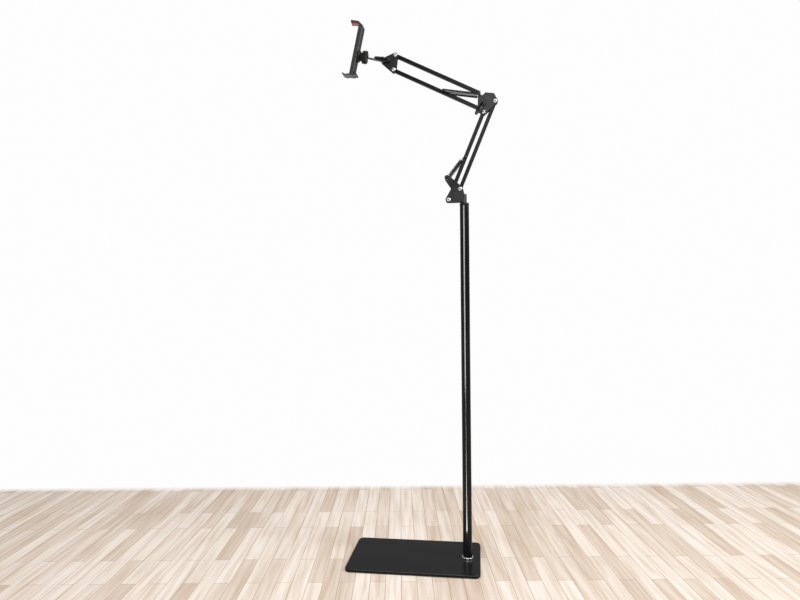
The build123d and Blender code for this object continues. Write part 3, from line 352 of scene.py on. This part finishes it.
# Foot ring: a chromed steel ring with a rounded shoulder that covers the joint of pole and plate.
# It slips over the pole before the bolt is tightened.
plate_top = 1000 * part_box("base_plate")[1].z
pole_x = 1000 * sum(corner.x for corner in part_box("pole")) / 2
ring_radius = 16.0
ring_height = 5.0
ring_shoulder = 1.6
pole_radius = 12.5
pole_gap = 0.03


def softened(corners, cut, steps=4):
    """Closed outline whose corners are rounded: each becomes a parabola that starts and ends a cut's length away."""
    corner = np.array(corners, float)
    cut = np.broadcast_to(np.asarray(cut, float), len(corner))[:, None]
    back = np.roll(corner, 1, 0) - corner
    on = np.roll(corner, -1, 0) - corner
    back_length = np.linalg.norm(back, axis=1)[:, None]
    on_length = np.linalg.norm(on, axis=1)[:, None]
    reach = np.minimum(cut, 0.49 * np.minimum(back_length, on_length))
    start = (corner + back / back_length * reach)[:, None]
    end = (corner + on / on_length * reach)[:, None]
    share = np.linspace(0, 1, steps + 1)[None, :, None]
    curve = (1 - share) ** 2 * start + 2 * share * (1 - share) * corner[:, None] + share ** 2 * end
    return curve.reshape(-1, 2)


def lathed(outline, foot, axis, steps=64, loop=True):
    """Surface of revolution: each outline point (along, radius) circles the axis that starts at the foot."""
    axis = np.array(axis, float) / np.linalg.norm(axis)
    side = np.cross(axis, np.eye(3)[np.argmin(np.abs(axis))])
    side /= np.linalg.norm(side)
    third = np.cross(axis, side)
    profile = np.array(outline, float)
    if loop:
        profile = np.vstack((profile, profile[:1]))
    angle = np.linspace(0, 2 * math.pi, steps + 1)
    around = np.cos(angle)[:, None] * side + np.sin(angle)[:, None] * third
    return np.array(foot, float) + profile[:, :1, None] * axis + profile[:, 1:, None] * around[None]


def skinned(name, grids, finish, sharp=35):
    """One mesh from grids of points in millimetres: neighbours make quads, and equal points are merged."""
    points, quads, start = [], [], 0
    for grid in grids:
        number = start + np.arange(grid.shape[0] * grid.shape[1]).reshape(grid.shape[:2])
        quads.append(np.stack((number[:-1, :-1], number[:-1, 1:], number[1:, 1:], number[1:, :-1]), -1).reshape(-1, 4))
        points.append(grid.reshape(-1, 3) / 1000)
        start += grid.shape[0] * grid.shape[1]
    mesh = bpy.data.meshes.new(name)
    mesh.from_pydata(np.vstack(points), [], np.vstack(quads))
    whole = bmesh.new()
    whole.from_mesh(mesh)
    bmesh.ops.remove_doubles(whole, verts=whole.verts, dist=1e-6)
    bmesh.ops.recalc_face_normals(whole, faces=whole.faces)
    whole.to_mesh(mesh)
    whole.free()
    mesh.materials.append(finish.material)
    mesh.shade_smooth()
    mesh.set_sharp_from_angle(angle=math.radians(sharp))
    piece = bpy.data.objects.new(name, mesh)
    scene.collection.objects.link(piece)
    return piece


chrome = Finish("chrome", Metallic=1.0, Base_Color=(0.82, 0.82, 0.84, 1))
haze = chrome.cloud(6, 3, (1, 1, 5))
chrome.feed("Roughness", 0.05 + 0.10 * haze)
ring_outline = softened(
    [(0, pole_radius + pole_gap), (ring_height, pole_radius + pole_gap), (ring_height, ring_radius), (0, ring_radius)],
    [0.1, 0.3, ring_shoulder, 0.2])
foot_ring = skinned("chromed_foot_ring", [lathed(ring_outline, (pole_x, 0, plate_top), (0, 0, 1), 96)], chrome)
ride_for(foot_ring, "foot_ring")
metal_lit.link(foot_ring)

# Pole: drawn steel tube of 25 mm with a 1.2 mm wall, in smooth black stove enamel with a soft gloss.
# The enamel's black and its gloss vary only a little along the tube.
enamel = Finish("black_enamel", Specular_IOR_Level=0.10)
wave = enamel.cloud(7, 2, (1, 1, 0.35))
enamel.feed("Base Color", enamel.between(wave, (0.0008, 0.0008, 0.0009), (0.0016, 0.0016, 0.0017)))
enamel.feed("Roughness", 0.11 + 0.04 * enamel.cloud(60, 2))
pole_top = 1000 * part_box("pole")[1].z
pole_bore = 11.3
pole_length = pole_top - plate_top
pole_outline = softened(
    [(0, pole_bore), (pole_length, pole_bore), (pole_length, pole_radius), (0, pole_radius)], 0.25)
pole = skinned("enamelled_pole", [lathed(pole_outline, (pole_x, 0, plate_top), (0, 0, 1), 96)], enamel)
ride_for(pole, "pole")
pole_lit.link(pole)
pole_foot_lit.link(pole)

# Top bush: black moulded plastic, pushed into the pole's mouth, with a collar as wide as the pole.
# The bracket's spigot turns in its bore.
smooth_plastic = Finish("smooth_black_plastic", Specular_IOR_Level=0.25)
mould_haze = smooth_plastic.cloud(9, 3)
smooth_plastic.feed("Base Color", smooth_plastic.between(mould_haze, (0.005, 0.005, 0.0052), (0.010, 0.010, 0.0105)))
smooth_plastic.feed("Roughness", 0.30 + 0.16 * mould_haze)
smooth_plastic.relief(smooth_plastic.cloud(0.8, 2), 0.015)
collar_height = 7.0
collar_radius = 12.8
bush_depth = 46.0
spigot_bore = 6.05
bush_outline = softened(
    [(-bush_depth, spigot_bore), (collar_height, spigot_bore), (collar_height, collar_radius), (0, collar_radius),
     (0, pole_bore - pole_gap), (-bush_depth, pole_bore - pole_gap)],
    [0.2, 0.5, 1.0, 0.1, 0.1, 0.8])
top_bush = skinned("moulded_top_bush", [lathed(bush_outline, (pole_x, 0, pole_top), (0, 0, 1), 96)], smooth_plastic)
ride_for(top_bush, "pole_top_bush")

# Bracket: a turned spigot carries two cheeks of 2 mm sheet steel, folded outwards into ears for the springs.
# All three are powder-coated in a closer, slightly glossier black than the base.
satin_coat = Finish("satin_coat", Specular_IOR_Level=0.32)
fleck = satin_coat.cloud(0.4, 3)
cast = satin_coat.cloud(14, 3)
satin_coat.feed("Base Color", satin_coat.between(
    satin_coat.contrast(fleck * 0.6 + cast * 0.4, 0.35, 0.65), (0.006, 0.006, 0.0064), (0.011, 0.011, 0.0117)))
satin_coat.feed("Roughness", 0.32 + 0.16 * cast)
satin_coat.relief(fleck, 0.03)
metal_lit.link(eased("bracket_spigot", satin_coat, 0.2))
eased("bracket_cheek_front", satin_coat, 0.35)
eased("bracket_cheek_rear", satin_coat, 0.35)

# Pivot rivets: tubular, nickel-plated, set in a press, so that each domed head keeps a round dimple. A dark disc set in
# each hollow is painted shade.
# Black nylon washers fill the half millimetre between the sheets and the bars.
nickel = Finish("nickel_plate", Metallic=1.0)
tarnish = nickel.cloud(1.8, 4)
nickel.feed("Base Color", nickel.between(
    nickel.contrast(tarnish, 0.3, 0.75), (0.90, 0.90, 0.91), (0.70, 0.70, 0.71)))
nickel.feed("Roughness", 0.30 + 0.16 * tarnish)
nylon = Finish("black_nylon", Roughness=0.55)
nylon.feed("Base Color", nylon.between(nylon.cloud(3, 3), (0.012, 0.012, 0.012), (0.024, 0.024, 0.024)))
joints = {joint["name"]: joint for joint in frame["joints"]}
sheet_face = 7.5


def pivot_of(name):
    """The joint's centre in millimetres."""
    return 1000 * np.array(joints[name]["pos_m"], float)


def painted_shade_discs(pivot):
    """Two dark discs of painted shade that lie in a rivet's hollow, a little below the dome's top on either side of the
    arm.
    """
    high = sheet_face + rivet_sizes["height"] - shade_disc_depth
    low = high - shade_disc_length
    radius = rivet_sizes["dimple"] / 2 - shade_disc_gap
    outline = np.array([(low, 0.0), (low, radius), (high, radius), (high, 0.0)])
    return [lathed(outline * (side, 1), pivot, (0, 1, 0), 24, False) for side in (1, -1)]


def headed(pivot, seat, shank, head, height, rim, dimple=0.0):
    """Pin across the arm with a domed head on both sides: half an outline from the dimple out, then its mirror."""
    share = np.linspace(0, 1, 9)
    sphere = (head ** 2 / 4 + (height - rim) ** 2) / (2 * (height - rim))
    radius = dimple / 2 + (head / 2 - dimple / 2) * share
    crown = seat + height - sphere + np.sqrt(sphere ** 2 - radius ** 2)
    dome = np.stack((crown, radius), 1)
    start = [(crown[0] - dimple, 0), (crown[0] - dimple, dimple / 2 - 0.15)] if dimple else [(crown[0], 0)]
    half = np.vstack((start, dome, [(seat, head / 2), (seat, shank / 2)]))
    return lathed(np.vstack((half, half[::-1] * (-1, 1))), pivot, (0, 1, 0), 48, False)


front_pivot = pivot_of("lower_arm_swing")
rear_pivot = pivot_of("lower_rear_follow")
rivet_sizes = {"shank": 6.0, "head": 10.0, "height": 2.4, "rim": 0.6, "dimple": 4.2}
# Depth, length and clearance of the dark discs that paint the shade in the rivets' hollows.
shade_disc_depth = 0.9
shade_disc_length = 1.6
shade_disc_gap = 0.16
rivets = skinned(
    "bracket_rivets_pressed",
    [headed(front_pivot, sheet_face, **rivet_sizes), headed(rear_pivot, sheet_face, **rivet_sizes)], nickel)
ride_for(rivets, "bracket_rivets")
metal_lit.link(rivets)
# Painted shade: dark discs put in the bracket rivets' hollows.
painted_shade_piece = skinned("bracket_rivet_cores", painted_shade_discs(front_pivot) + painted_shade_discs(rear_pivot), black_oxide)
ride_for(painted_shade_piece, "bracket_rivets")
eased("bracket_washers", nylon, 0)

# Lower arm: two parallel bars of 10 mm square steel tube, their ends rounded about the pivots and plugged in plastic.
# Black enamel with a satin face.
bar_enamel = Finish("bar_enamel", Specular_IOR_Level=0.14)
streak = bar_enamel.cloud(5, 3)
bar_enamel.feed("Base Color", bar_enamel.between(
    bar_enamel.contrast(streak, 0.3, 0.7), (0.0028, 0.0028, 0.003), (0.0056, 0.0056, 0.006)))
bar_enamel.feed("Roughness", 0.26 + 0.14 * streak)
bar_enamel.relief(bar_enamel.cloud(1.2, 2), 0.012)
for bar in ("lower_front_bar", "lower_rear_bar"):
    eased(bar, bar_enamel, 0)
    eased(bar + "_plugs", smooth_plastic, 0)
elbow_front = pivot_of("elbow_level")
pin_seat = 9.9
lower_reach = 126.0
lower_pin = front_pivot + (elbow_front - front_pivot) * lower_reach / np.linalg.norm(elbow_front - front_pivot)
pin_sizes = {"shank": 4.0, "head": 6.6, "height": 1.4, "rim": 0.45}
spring_pin = skinned("lower_spring_pin_headed", [headed(lower_pin, pin_seat, **pin_sizes)], black_oxide)
ride_for(spring_pin, "lower_spring_pin")

# Lower springs: hard-drawn wire of 1.6 mm, wound in 24 close turns, one spring on each side of the bars.
# A loop goes round the pin, and the other end passes through the ear's slot and turns back as a hook.
spring_wire = Finish("spring_wire", Specular_IOR_Level=0.35)
drawn = spring_wire.cloud(1.4, 3)
spring_wire.feed("Base Color", spring_wire.between(
    spring_wire.contrast(drawn, 0.3, 0.7), (0.005, 0.005, 0.0052), (0.012, 0.012, 0.0125)))
spring_wire.feed("Roughness", 0.34 + 0.2 * drawn)
coil_offset = 10.5
coil_radius = 3.7
quarter = np.linspace(0, math.pi / 2, 7)[1:]
half_turn = np.linspace(0, math.pi, 13)[1:]


def wire_route(pin, far, pin_loop, far_loop, turns, pin_lead, far_lead, hook=(2.2, 3.0)):
    """Centre line of a tension spring in front of the bars.

    It runs three quarters round the pin, straight on, bends out to the coil's radius, then goes round and round
    the axis while moving along it, and ends the same way in a loop or in an outward hook with a short tail.
    """
    run = far[[0, 2]] - pin[[0, 2]]
    distance = np.linalg.norm(run)
    lean = math.asin((pin_loop - far_loop) / distance)
    angle = math.atan2(run[1], run[0]) + lean
    length = distance * math.cos(lean)
    along = np.array((math.cos(angle), 0, math.sin(angle)))
    side = np.array((-math.sin(angle), 0, math.cos(angle)))
    out = np.array((0, -1, 0))
    bend = coil_radius / 2
    foot = np.array((pin[0], -coil_offset, pin[2])) - side * pin_loop

    def spot(forward, outward, sideways):
        forward, outward, sideways = np.broadcast_arrays(forward, outward, sideways)
        return foot + forward[:, None] * along + outward[:, None] * out + sideways[:, None] * side

    loop = np.linspace(-1.5 * math.pi, 0, 28)
    coil_end = length - far_lead
    climb = np.linspace(0, turns, int(turns * 24) + 1)[1:]
    swing = math.pi / 2 + 2 * math.pi * climb
    parts = [
        spot(pin_loop * np.sin(loop), -bend, pin_loop * (1 - np.cos(loop))),
        spot(np.linspace(0, pin_lead - bend, 12)[1:], -bend, 0),
        spot(pin_lead - bend + bend * np.sin(quarter), -bend * np.cos(quarter), 0),
        spot(pin_lead, bend * np.sin(half_turn), bend * (1 - np.cos(half_turn))),
        spot(
            pin_lead + (coil_end - pin_lead) * climb / turns, coil_radius * np.cos(swing),
            coil_radius * np.sin(swing)),
        spot(coil_end, bend * np.sin(half_turn), -bend * (1 + np.cos(half_turn))),
        spot(coil_end + bend * (1 - np.cos(quarter)), -bend * np.sin(quarter), 0),
    ]
    if far_loop:
        round_bolt = np.linspace(0, 1.5 * math.pi, 28)
        parts.append(spot(np.linspace(coil_end + bend, length, 10)[1:], -bend, 0))
        parts.append(spot(length + far_loop * np.sin(round_bolt[1:]), -bend, far_loop * (1 - np.cos(round_bolt[1:]))))
    else:
        radius, tail = hook
        parts.append(spot(np.linspace(coil_end + bend, length - radius, 10)[1:], -bend, 0))
        parts.append(spot(
            length - radius + radius * np.sin(half_turn), radius * (1 - np.cos(half_turn)) - bend, 0))
        parts.append(spot(np.linspace(length - radius, length - radius - tail, 5)[1:], 2 * radius - bend, 0))
    return np.vstack(parts)


def carried(path, section):
    """A closed section carried along a path, its two ends drawn to a point.

    Each ring stands square to the path. The small turns between neighbours' own side directions are added up,
    so that the rings don't twist.
    """
    ahead = np.gradient(path, axis=0)
    ahead /= np.linalg.norm(ahead, axis=1)[:, None]
    side = np.cross(ahead, np.eye(3)[np.argmin(np.abs(ahead), axis=1)])
    side /= np.linalg.norm(side, axis=1)[:, None]
    third = np.cross(ahead, side)
    turn = np.cross(ahead[:-1], ahead[1:])
    closeness = 1 + np.sum(ahead[:-1] * ahead[1:], axis=1)[:, None]
    moved = side[:-1] + np.cross(turn, side[:-1]) + np.cross(turn, np.cross(turn, side[:-1])) / closeness
    step = np.arctan2(np.sum(moved * third[1:], axis=1), np.sum(moved * side[1:], axis=1))
    phase = np.concatenate(((0,), np.cumsum(step)))[:, None]
    first = np.cos(phase) * side + np.sin(phase) * third
    second = np.cos(phase) * third - np.sin(phase) * side
    loop = np.vstack((section, section[:1]))
    tube = path[:, None] + loop[None, :, :1] * first[:, None] + loop[None, :, 1:] * second[:, None]
    return np.concatenate((tube[:1] * 0 + path[0], tube, tube[:1] * 0 + path[-1]))


def circle(radius, steps):
    """Round section."""
    angle = np.linspace(0, 2 * math.pi, steps, endpoint=False)
    return radius * np.stack((np.cos(angle), np.sin(angle)), 1)


def spring_pair(nodes, route, wire, start, end):
    """The spring in front of the bars and its mirror image behind them."""
    for node, mirrored in zip(nodes, (1, -1)):
        spring = skinned(node + "_wound", [carried(route * (1, mirrored, 1), circle(wire / 2, 12))], spring_wire)
        tuple(start / 1000)
        tuple(end / 1000)
        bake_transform(spring)
        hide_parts(node)


lower_wire = 1.6
lower_pin_loop = 2 + 0.3 + lower_wire / 2
ear_slot = np.array((97.86, 0, 1055.33))
lower_route = wire_route(lower_pin, ear_slot, lower_pin_loop, 0, 24.5, 15.0, 13.0)
toward_pin = (lower_pin - ear_slot) / np.linalg.norm(lower_pin - ear_slot)
spring_pair(
    ("lower_spring_front", "lower_spring_rear"), lower_route, lower_wire,
    ear_slot + 6 * toward_pin, lower_pin - 6 * toward_pin)

# Elbow: two plates of 2 mm sheet steel, punched, tumbled and coated, join the lower bars to the upper ones.
# Two rivets carry the lower bars, a bright shoulder bolt the top bar and both springs' loops.
elbow_rear = elbow_front + rear_pivot - front_pivot
elbow_wing = pivot_of("upper_arm_swing")
elbow_top = pivot_of("upper_top_follow")
eased("elbow_plate_front", satin_coat, 0)
eased("elbow_plate_rear", satin_coat, 0)
rivets = skinned(
    "elbow_rivets_pressed",
    [headed(elbow_front, sheet_face, **rivet_sizes), headed(elbow_rear, sheet_face, **rivet_sizes)], nickel)
ride_for(rivets, "elbow_rivets")
metal_lit.link(rivets)
# Painted shade: dark discs put in the elbow rivets' hollows.
painted_shade_piece = skinned("elbow_rivet_cores", painted_shade_discs(elbow_front) + painted_shade_discs(elbow_rear), black_oxide)
ride_for(painted_shade_piece, "elbow_rivets")
eased("elbow_washers", nylon, 0)
bright_zinc = Finish("bright_zinc", Metallic=1.0)
bloom = bright_zinc.cloud(4, 4)
bright_zinc.feed("Base Color", bright_zinc.between(bloom, (0.92, 0.92, 0.93), (0.78, 0.79, 0.81)))
bright_zinc.feed("Roughness", 0.18 + 0.14 * bloom)
spring_bolt = skinned(
    "elbow_spring_bolt_turned", [headed(elbow_top, pin_seat, 6.0, 11.2, 2.4, 0.6)], bright_zinc)
ride_for(spring_bolt, "elbow_spring_bolt")
metal_lit.link(spring_bolt)

# Wing bolts, their washers and wing knobs: a zinc-plated carriage bolt passes through both plates from behind.
# The knob is moulded in black plastic round a brass thread: a round hub with two tapering, hollow-backed wings.
washer_gap = 1.0
knob_base = sheet_face + washer_gap
knob_plastic = Finish("knob_plastic", Specular_IOR_Level=0.5)
sheen = knob_plastic.cloud(5, 3)
knob_plastic.feed("Base Color", knob_plastic.between(sheen, (0.004, 0.004, 0.0042), (0.008, 0.008, 0.0084)))
knob_plastic.feed("Roughness", 0.30 + 0.18 * sheen)
knob_plastic.relief(knob_plastic.cloud(0.7, 2), 0.02)


def wing_bolt(pivot):
    """Outline along +Y: the shank's end in the knob, the shank, and the domed head behind the rear plate."""
    share = np.linspace(0, 1, 9)
    head, height, rim = 13.0, 3.0, 0.6
    sphere = (head ** 2 / 4 + (height - rim) ** 2) / (2 * (height - rim))
    radius = head / 2 * (1 - share)
    dome = np.stack((sheet_face + height - sphere + np.sqrt(sphere ** 2 - radius ** 2), radius), 1)
    shank = [(-knob_base - 9, 0), (-knob_base - 9, 3), (sheet_face, 3), (sheet_face, head / 2)]
    return lathed(np.vstack((shank, dome)), pivot, (0, 1, 0), 48, False)


def wing_knob(pivot, angle):
    """Hub and wings.

    The hub is a turned outline. The wings are one leaf: across its spine it is as wide as a straight taper from
    root to tip, with a round end, and its height over the plate sinks into a shallow saddle at the middle.
    """
    turn = math.radians(angle)
    spine = np.array((math.cos(turn), 0, math.sin(turn)))
    side = np.array((-math.sin(turn), 0, math.cos(turn)))
    out = np.array((0, -1, 0))
    half_span, tip, root = 23.0, 4.0, 6.5
    slope = math.asin((root - tip) / (half_span - tip))
    end_turn = np.linspace(math.pi / 2 - slope, slope - math.pi / 2, 15)
    right_end = np.stack((half_span - tip + tip * np.cos(end_turn), tip * np.sin(end_turn)), 1)
    side_run = np.linspace(0, 1, 8)[1:-1, None]
    shoulder = np.array((root * math.sin(slope), -root * math.cos(slope)))
    lower_right = right_end[-1] + (shoulder - right_end[-1]) * side_run
    lower_left = lower_right[::-1] * (-1, 1)
    lower_edge = np.vstack((lower_right, [shoulder, shoulder * (-1, 1)], lower_left))
    outline = np.vstack((right_end, lower_edge, right_end[::-1] * (-1, 1), lower_edge[::-1] * (-1, -1)))
    outline = np.vstack((outline, right_end[:1]))
    base, top, sink, saddle = knob_base + 2.4, knob_base + 12.2, 3.6, 12.0
    depth = np.array((0.0, 0.0, 0.06, 0.16, 0.84, 0.94, 1.0, 1.0, 1.0))
    width = np.array((0.0, 0.72, 0.93, 1.0, 1.0, 0.95, 0.78, 0.4, 0.0))
    centre = np.clip(outline[:, 0], tip - half_span, half_span - tip)
    along = centre[None] + (outline[:, 0] - centre)[None] * width[:, None]
    sideways = outline[None, :, 1] * width[:, None]
    crest = top - sink * np.clip(1 - (along / saddle) ** 2, 0, 1) ** 1.5
    rise = base + (crest - base) * depth[:, None]
    wings = pivot + along[..., None] * spine + sideways[..., None] * side + rise[..., None] * out
    hub = softened([(knob_base, 3.05), (knob_base + 9.05, 3.05), (knob_base + 10.0, 0.0001), (knob_base + 10, 7.0),
                    (knob_base, 7.0)], [0.2, 0.1, 0.0001, 1.2, 0.5])
    return [lathed(hub, pivot, (0, -1, 0), 48), wings]


for place, spin, turned in (("elbow", "elbow_knob_spin", 54.0), ("head", "head_knob_spin", 168.0)):
    centre = pivot_of(spin)
    ride_for(skinned(place + "_wing_bolt_plated", [wing_bolt(centre)], bright_zinc), place + "_wing_bolt")
    eased(place + "_knob_washer", bright_zinc, 0.15)
    ride_for(skinned(place + "_wing_knob_moulded", wing_knob(centre, turned), knob_plastic, 45), place + "_wing_knob")

# Upper springs: as the lower ones, but of 1.8 mm wire in 35 turns, from the bottom bar's pin to the shoulder bolt.
upper_wire = 1.8
upper_reach = 134.5
head_bottom = pivot_of("head_level")
upper_pin = elbow_wing + (head_bottom - elbow_wing) * upper_reach / np.linalg.norm(head_bottom - elbow_wing)
upper_route = wire_route(
    upper_pin, elbow_top, 2 + 0.3 + upper_wire / 2, 3 + 0.3 + upper_wire / 2, 35.5, 17.5, 12.8)
toward_pin = (upper_pin - elbow_top) / np.linalg.norm(upper_pin - elbow_top)
spring_pair(
    ("upper_spring_front", "upper_spring_rear"), upper_route, upper_wire,
    elbow_top + 8 * toward_pin, upper_pin - 6 * toward_pin)

# Upper arm: the same square tube as the lower arm, 269 mm between pivots, with the springs' pin in the bottom bar.
for bar in ("upper_top_bar", "upper_bottom_bar"):
    eased(bar, bar_enamel, 0)
    eased(bar + "_plugs", smooth_plastic, 0)
spring_pin = skinned("upper_spring_pin_headed", [headed(upper_pin, pin_seat, **pin_sizes)], black_oxide)
ride_for(spring_pin, "upper_spring_pin")

# Head: two triangular plates like the elbow's, riveted to both bars, with the rod's barrel clamped at their tip.
head_top = head_bottom + elbow_top - elbow_wing
eased("head_plate_front", satin_coat, 0)
eased("head_plate_rear", satin_coat, 0)
rivets = skinned(
    "head_rivets_pressed",
    [headed(head_top, sheet_face, **rivet_sizes), headed(head_bottom, sheet_face, **rivet_sizes)], nickel)
ride_for(rivets, "head_rivets")
metal_lit.link(rivets)
# Painted shade: dark discs put in the head rivets' hollows.
painted_shade_piece = skinned("head_rivet_cores", painted_shade_discs(head_top) + painted_shade_discs(head_bottom), black_oxide)
ride_for(painted_shade_piece, "head_rivets")
eased("head_washers", nylon, 0)

# Ball rod: turned from bright steel: a cross barrel, a 6 mm rod, a neck and a 15 mm polished ball.
ball_centre = pivot_of("ball_nod")
rod_foot = pivot_of("rod_tilt")
rod_length = np.linalg.norm(ball_centre - rod_foot)
polished_steel = Finish("polished_steel", Metallic=1.0)
lines = polished_steel.cloud(2.2, 3)
polished_steel.feed("Base Color", polished_steel.between(lines, (0.20, 0.20, 0.21), (0.13, 0.13, 0.14)))
polished_steel.feed("Roughness", 0.16 + 0.12 * lines)
ball_radius = 7.5
neck_radius = 2.5
neck_start = rod_length - 15.0
ball_from = -math.acos(neck_radius / ball_radius)
ball_arc = np.linspace(ball_from, math.pi / 2, 25)
rod_outline = np.vstack((
    [(0, 0), (0, 3.0), (neck_start - 0.6, 3.0), (neck_start, neck_radius)],
    np.stack((rod_length + ball_radius * np.sin(ball_arc), ball_radius * np.cos(ball_arc)), 1)))
barrel_outline = softened([(-5.45, 3.05), (5.45, 3.05), (5.45, 6.0), (-5.45, 6.0)], 0.35)
rod = skinned("turned_ball_rod", [
    lathed(rod_outline, rod_foot, ball_centre - rod_foot, 48, False), lathed(barrel_outline, rod_foot, (0, 1, 0), 48)],
    polished_steel)
ride_for(rod, "ball_rod")

# Ball seats: two natural acetal rings that grip the ball inside the socket. They show only in the nut's mouth.
acetal = Finish("natural_acetal", Roughness=0.4)
acetal.feed("Base Color", acetal.between(acetal.cloud(4, 2), (0.70, 0.70, 0.66), (0.62, 0.62, 0.58)))
eased("ball_seat_cup", acetal, 0)
eased("ball_seat_ring", acetal, 0)

# Ball socket: black moulded plastic, screwed to the clamp's back, with a coned flange and a threaded neck.
clamp_normal = np.array(joints["ball_roll"]["axis"], float)
socket_outline = [
    (-1.0, 8.7), (-0.4, 12.0), (11.0, 12.0), (14.5, 16.0), (14.9, 16.5), (18.2, 16.5), (18.5, 16.2), (18.5, 0)]
cavity = np.linspace(math.asin(1.0 / 8.65), math.pi / 2, 10)
cavity_outline = np.stack((8.65 * np.sin(cavity), 8.65 * np.cos(cavity)), 1)[::-1]
socket_full = np.vstack((cavity_outline, [(-1.0, 8.59)], socket_outline))
socket = skinned("moulded_ball_socket", [lathed(socket_full, ball_centre, clamp_normal, 72, False)], smooth_plastic)
ride_for(socket, "ball_socket")
eased("socket_screws", black_oxide, 0.1)

# Ball nut: black moulded plastic with six finger grooves and a coned mouth that lets the rod tilt.
# It screws over the socket's neck and presses the seats on the ball.
nut_front, nut_back, nut_radius = -7.5, 5.0, 17.9
nut_angle = np.linspace(0, 2 * math.pi, 145)
groove_radius = 4.6
groove_centre = nut_radius - 3.0 + groove_radius
lobe_angle = (nut_angle + math.pi / 6) % (math.pi / 3) - math.pi / 6
from_groove = np.abs(np.abs(lobe_angle) - math.pi / 6)
inside = np.maximum(groove_radius ** 2 - (groove_centre * np.sin(from_groove)) ** 2, 0)
lobed = np.where(
    groove_centre * np.sin(from_groove) < groove_radius,
    np.minimum(groove_centre * np.cos(from_groove) - np.sqrt(inside), nut_radius), nut_radius)
nut_rows = np.array([
    (nut_front, 8.8, 0), (nut_front, 10.5, 0), (nut_front, nut_radius - 1.5, 1), (nut_front + 0.4, nut_radius - 0.5, 1),
    (nut_front + 1.4, nut_radius, 1), (nut_back - 1.4, nut_radius, 1), (nut_back - 0.4, nut_radius - 0.5, 1),
    (nut_back, nut_radius - 1.5, 1), (nut_back, 13.4, 0), (nut_back, 12.05, 0), (-1.8, 12.05, 0), (-1.8, 8.45, 0),
    (-3.4, 7.95, 0), (-5.05, 7.0, 0), (nut_front, 8.8, 0)])
reach = np.where(nut_rows[:, 2:] > 0, nut_rows[:, 1:2] + (lobed - nut_radius)[None], nut_rows[:, 1:2] + 0 * lobed[None])
clamp_rise = np.array(joints["ball_pan"]["axis"], float)
spoke = np.cos(nut_angle)[:, None] * clamp_rise + np.sin(nut_angle)[:, None] * np.array((0, 1, 0))
nut_grid = ball_centre + nut_rows[:, :1, None] * clamp_normal + reach[..., None] * spoke[None]
ride_for(skinned("moulded_ball_nut", [nut_grid], smooth_plastic, 40), "ball_nut")

# Clamp: casing and cover are two black mouldings with a fine spark-eroded grain, closed by one screw.
# The upper jaw's tongue slides between them, and the lower jaw is screwed under the casing. The cover lies in shade.
grained_plastic = Finish("grained_black_plastic", Specular_IOR_Level=0.45)
grain = grained_plastic.node(
    "ShaderNodeTexVoronoi", {}, {"Vector": grained_plastic.place(), "Scale": 1900.0}, "Distance")
tone = grained_plastic.cloud(20, 3)
grained_plastic.feed("Base Color", grained_plastic.between(
    grained_plastic.contrast(grain * 0.5 + tone * 0.5, 0.2, 0.6), (0.007, 0.008, 0.0075), (0.013, 0.015, 0.014)))
grained_plastic.feed("Roughness", 0.25 + 0.12 * tone)
grained_plastic.relief(grain, 0.004)
for moulding, edge in (("clamp_casing", 0.5), ("upper_jaw", 0.4), ("lower_jaw", 0.4)):
    clamp_lit.link(eased(moulding, grained_plastic, edge))
eased("clamp_cover", grained_plastic, 0.2)
eased("clamp_cover_screw", black_oxide, 0.1)
eased("lower_jaw_screws", black_oxide, 0.1)

# Jaw pads: soft red rubber strips, glued where the tablet's edge is gripped.
red_rubber = Finish("red_rubber", Roughness=0.42, Specular_IOR_Level=0.5)
blotch = red_rubber.cloud(6, 3)
red_rubber.feed("Base Color", red_rubber.between(blotch, (0.56, 0.045, 0.060), (0.68, 0.075, 0.095)))
red_rubber.relief(red_rubber.cloud(0.6, 2), 0.04)
eased("upper_jaw_pad", red_rubber, 0.35)
eased("lower_jaw_pad", red_rubber, 0.35)

# Jaw springs: two thin return springs inside the casing that pull the upper jaw down.
# They show only when the jaw is drawn up.
jaw_low, jaw_high = -49.0, 49.3
jaw_spring_reach = 24.65
jaw_turns = 60
jaw_along = np.linspace(0, 1, jaw_turns * 12 + 1)
jaw_swing = 2 * math.pi * jaw_turns * jaw_along
jaw_lift = jaw_low + 0.2 + (jaw_high - jaw_low - 0.4) * jaw_along
tubes = []
for offset in (-9.7, 9.7):
    centre = ball_centre + jaw_spring_reach * clamp_normal + offset * np.array((0, 1, 0))
    line = centre + jaw_lift[:, None] * clamp_rise + 1.35 * (
        np.cos(jaw_swing)[:, None] * clamp_normal + np.sin(jaw_swing)[:, None] * np.array((0, 1, 0)))
    tubes.append(carried(line, circle(0.22, 6)))
jaw_springs = skinned("jaw_springs_wound", tubes, spring_wire)
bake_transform(jaw_springs)
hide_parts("jaw_springs")
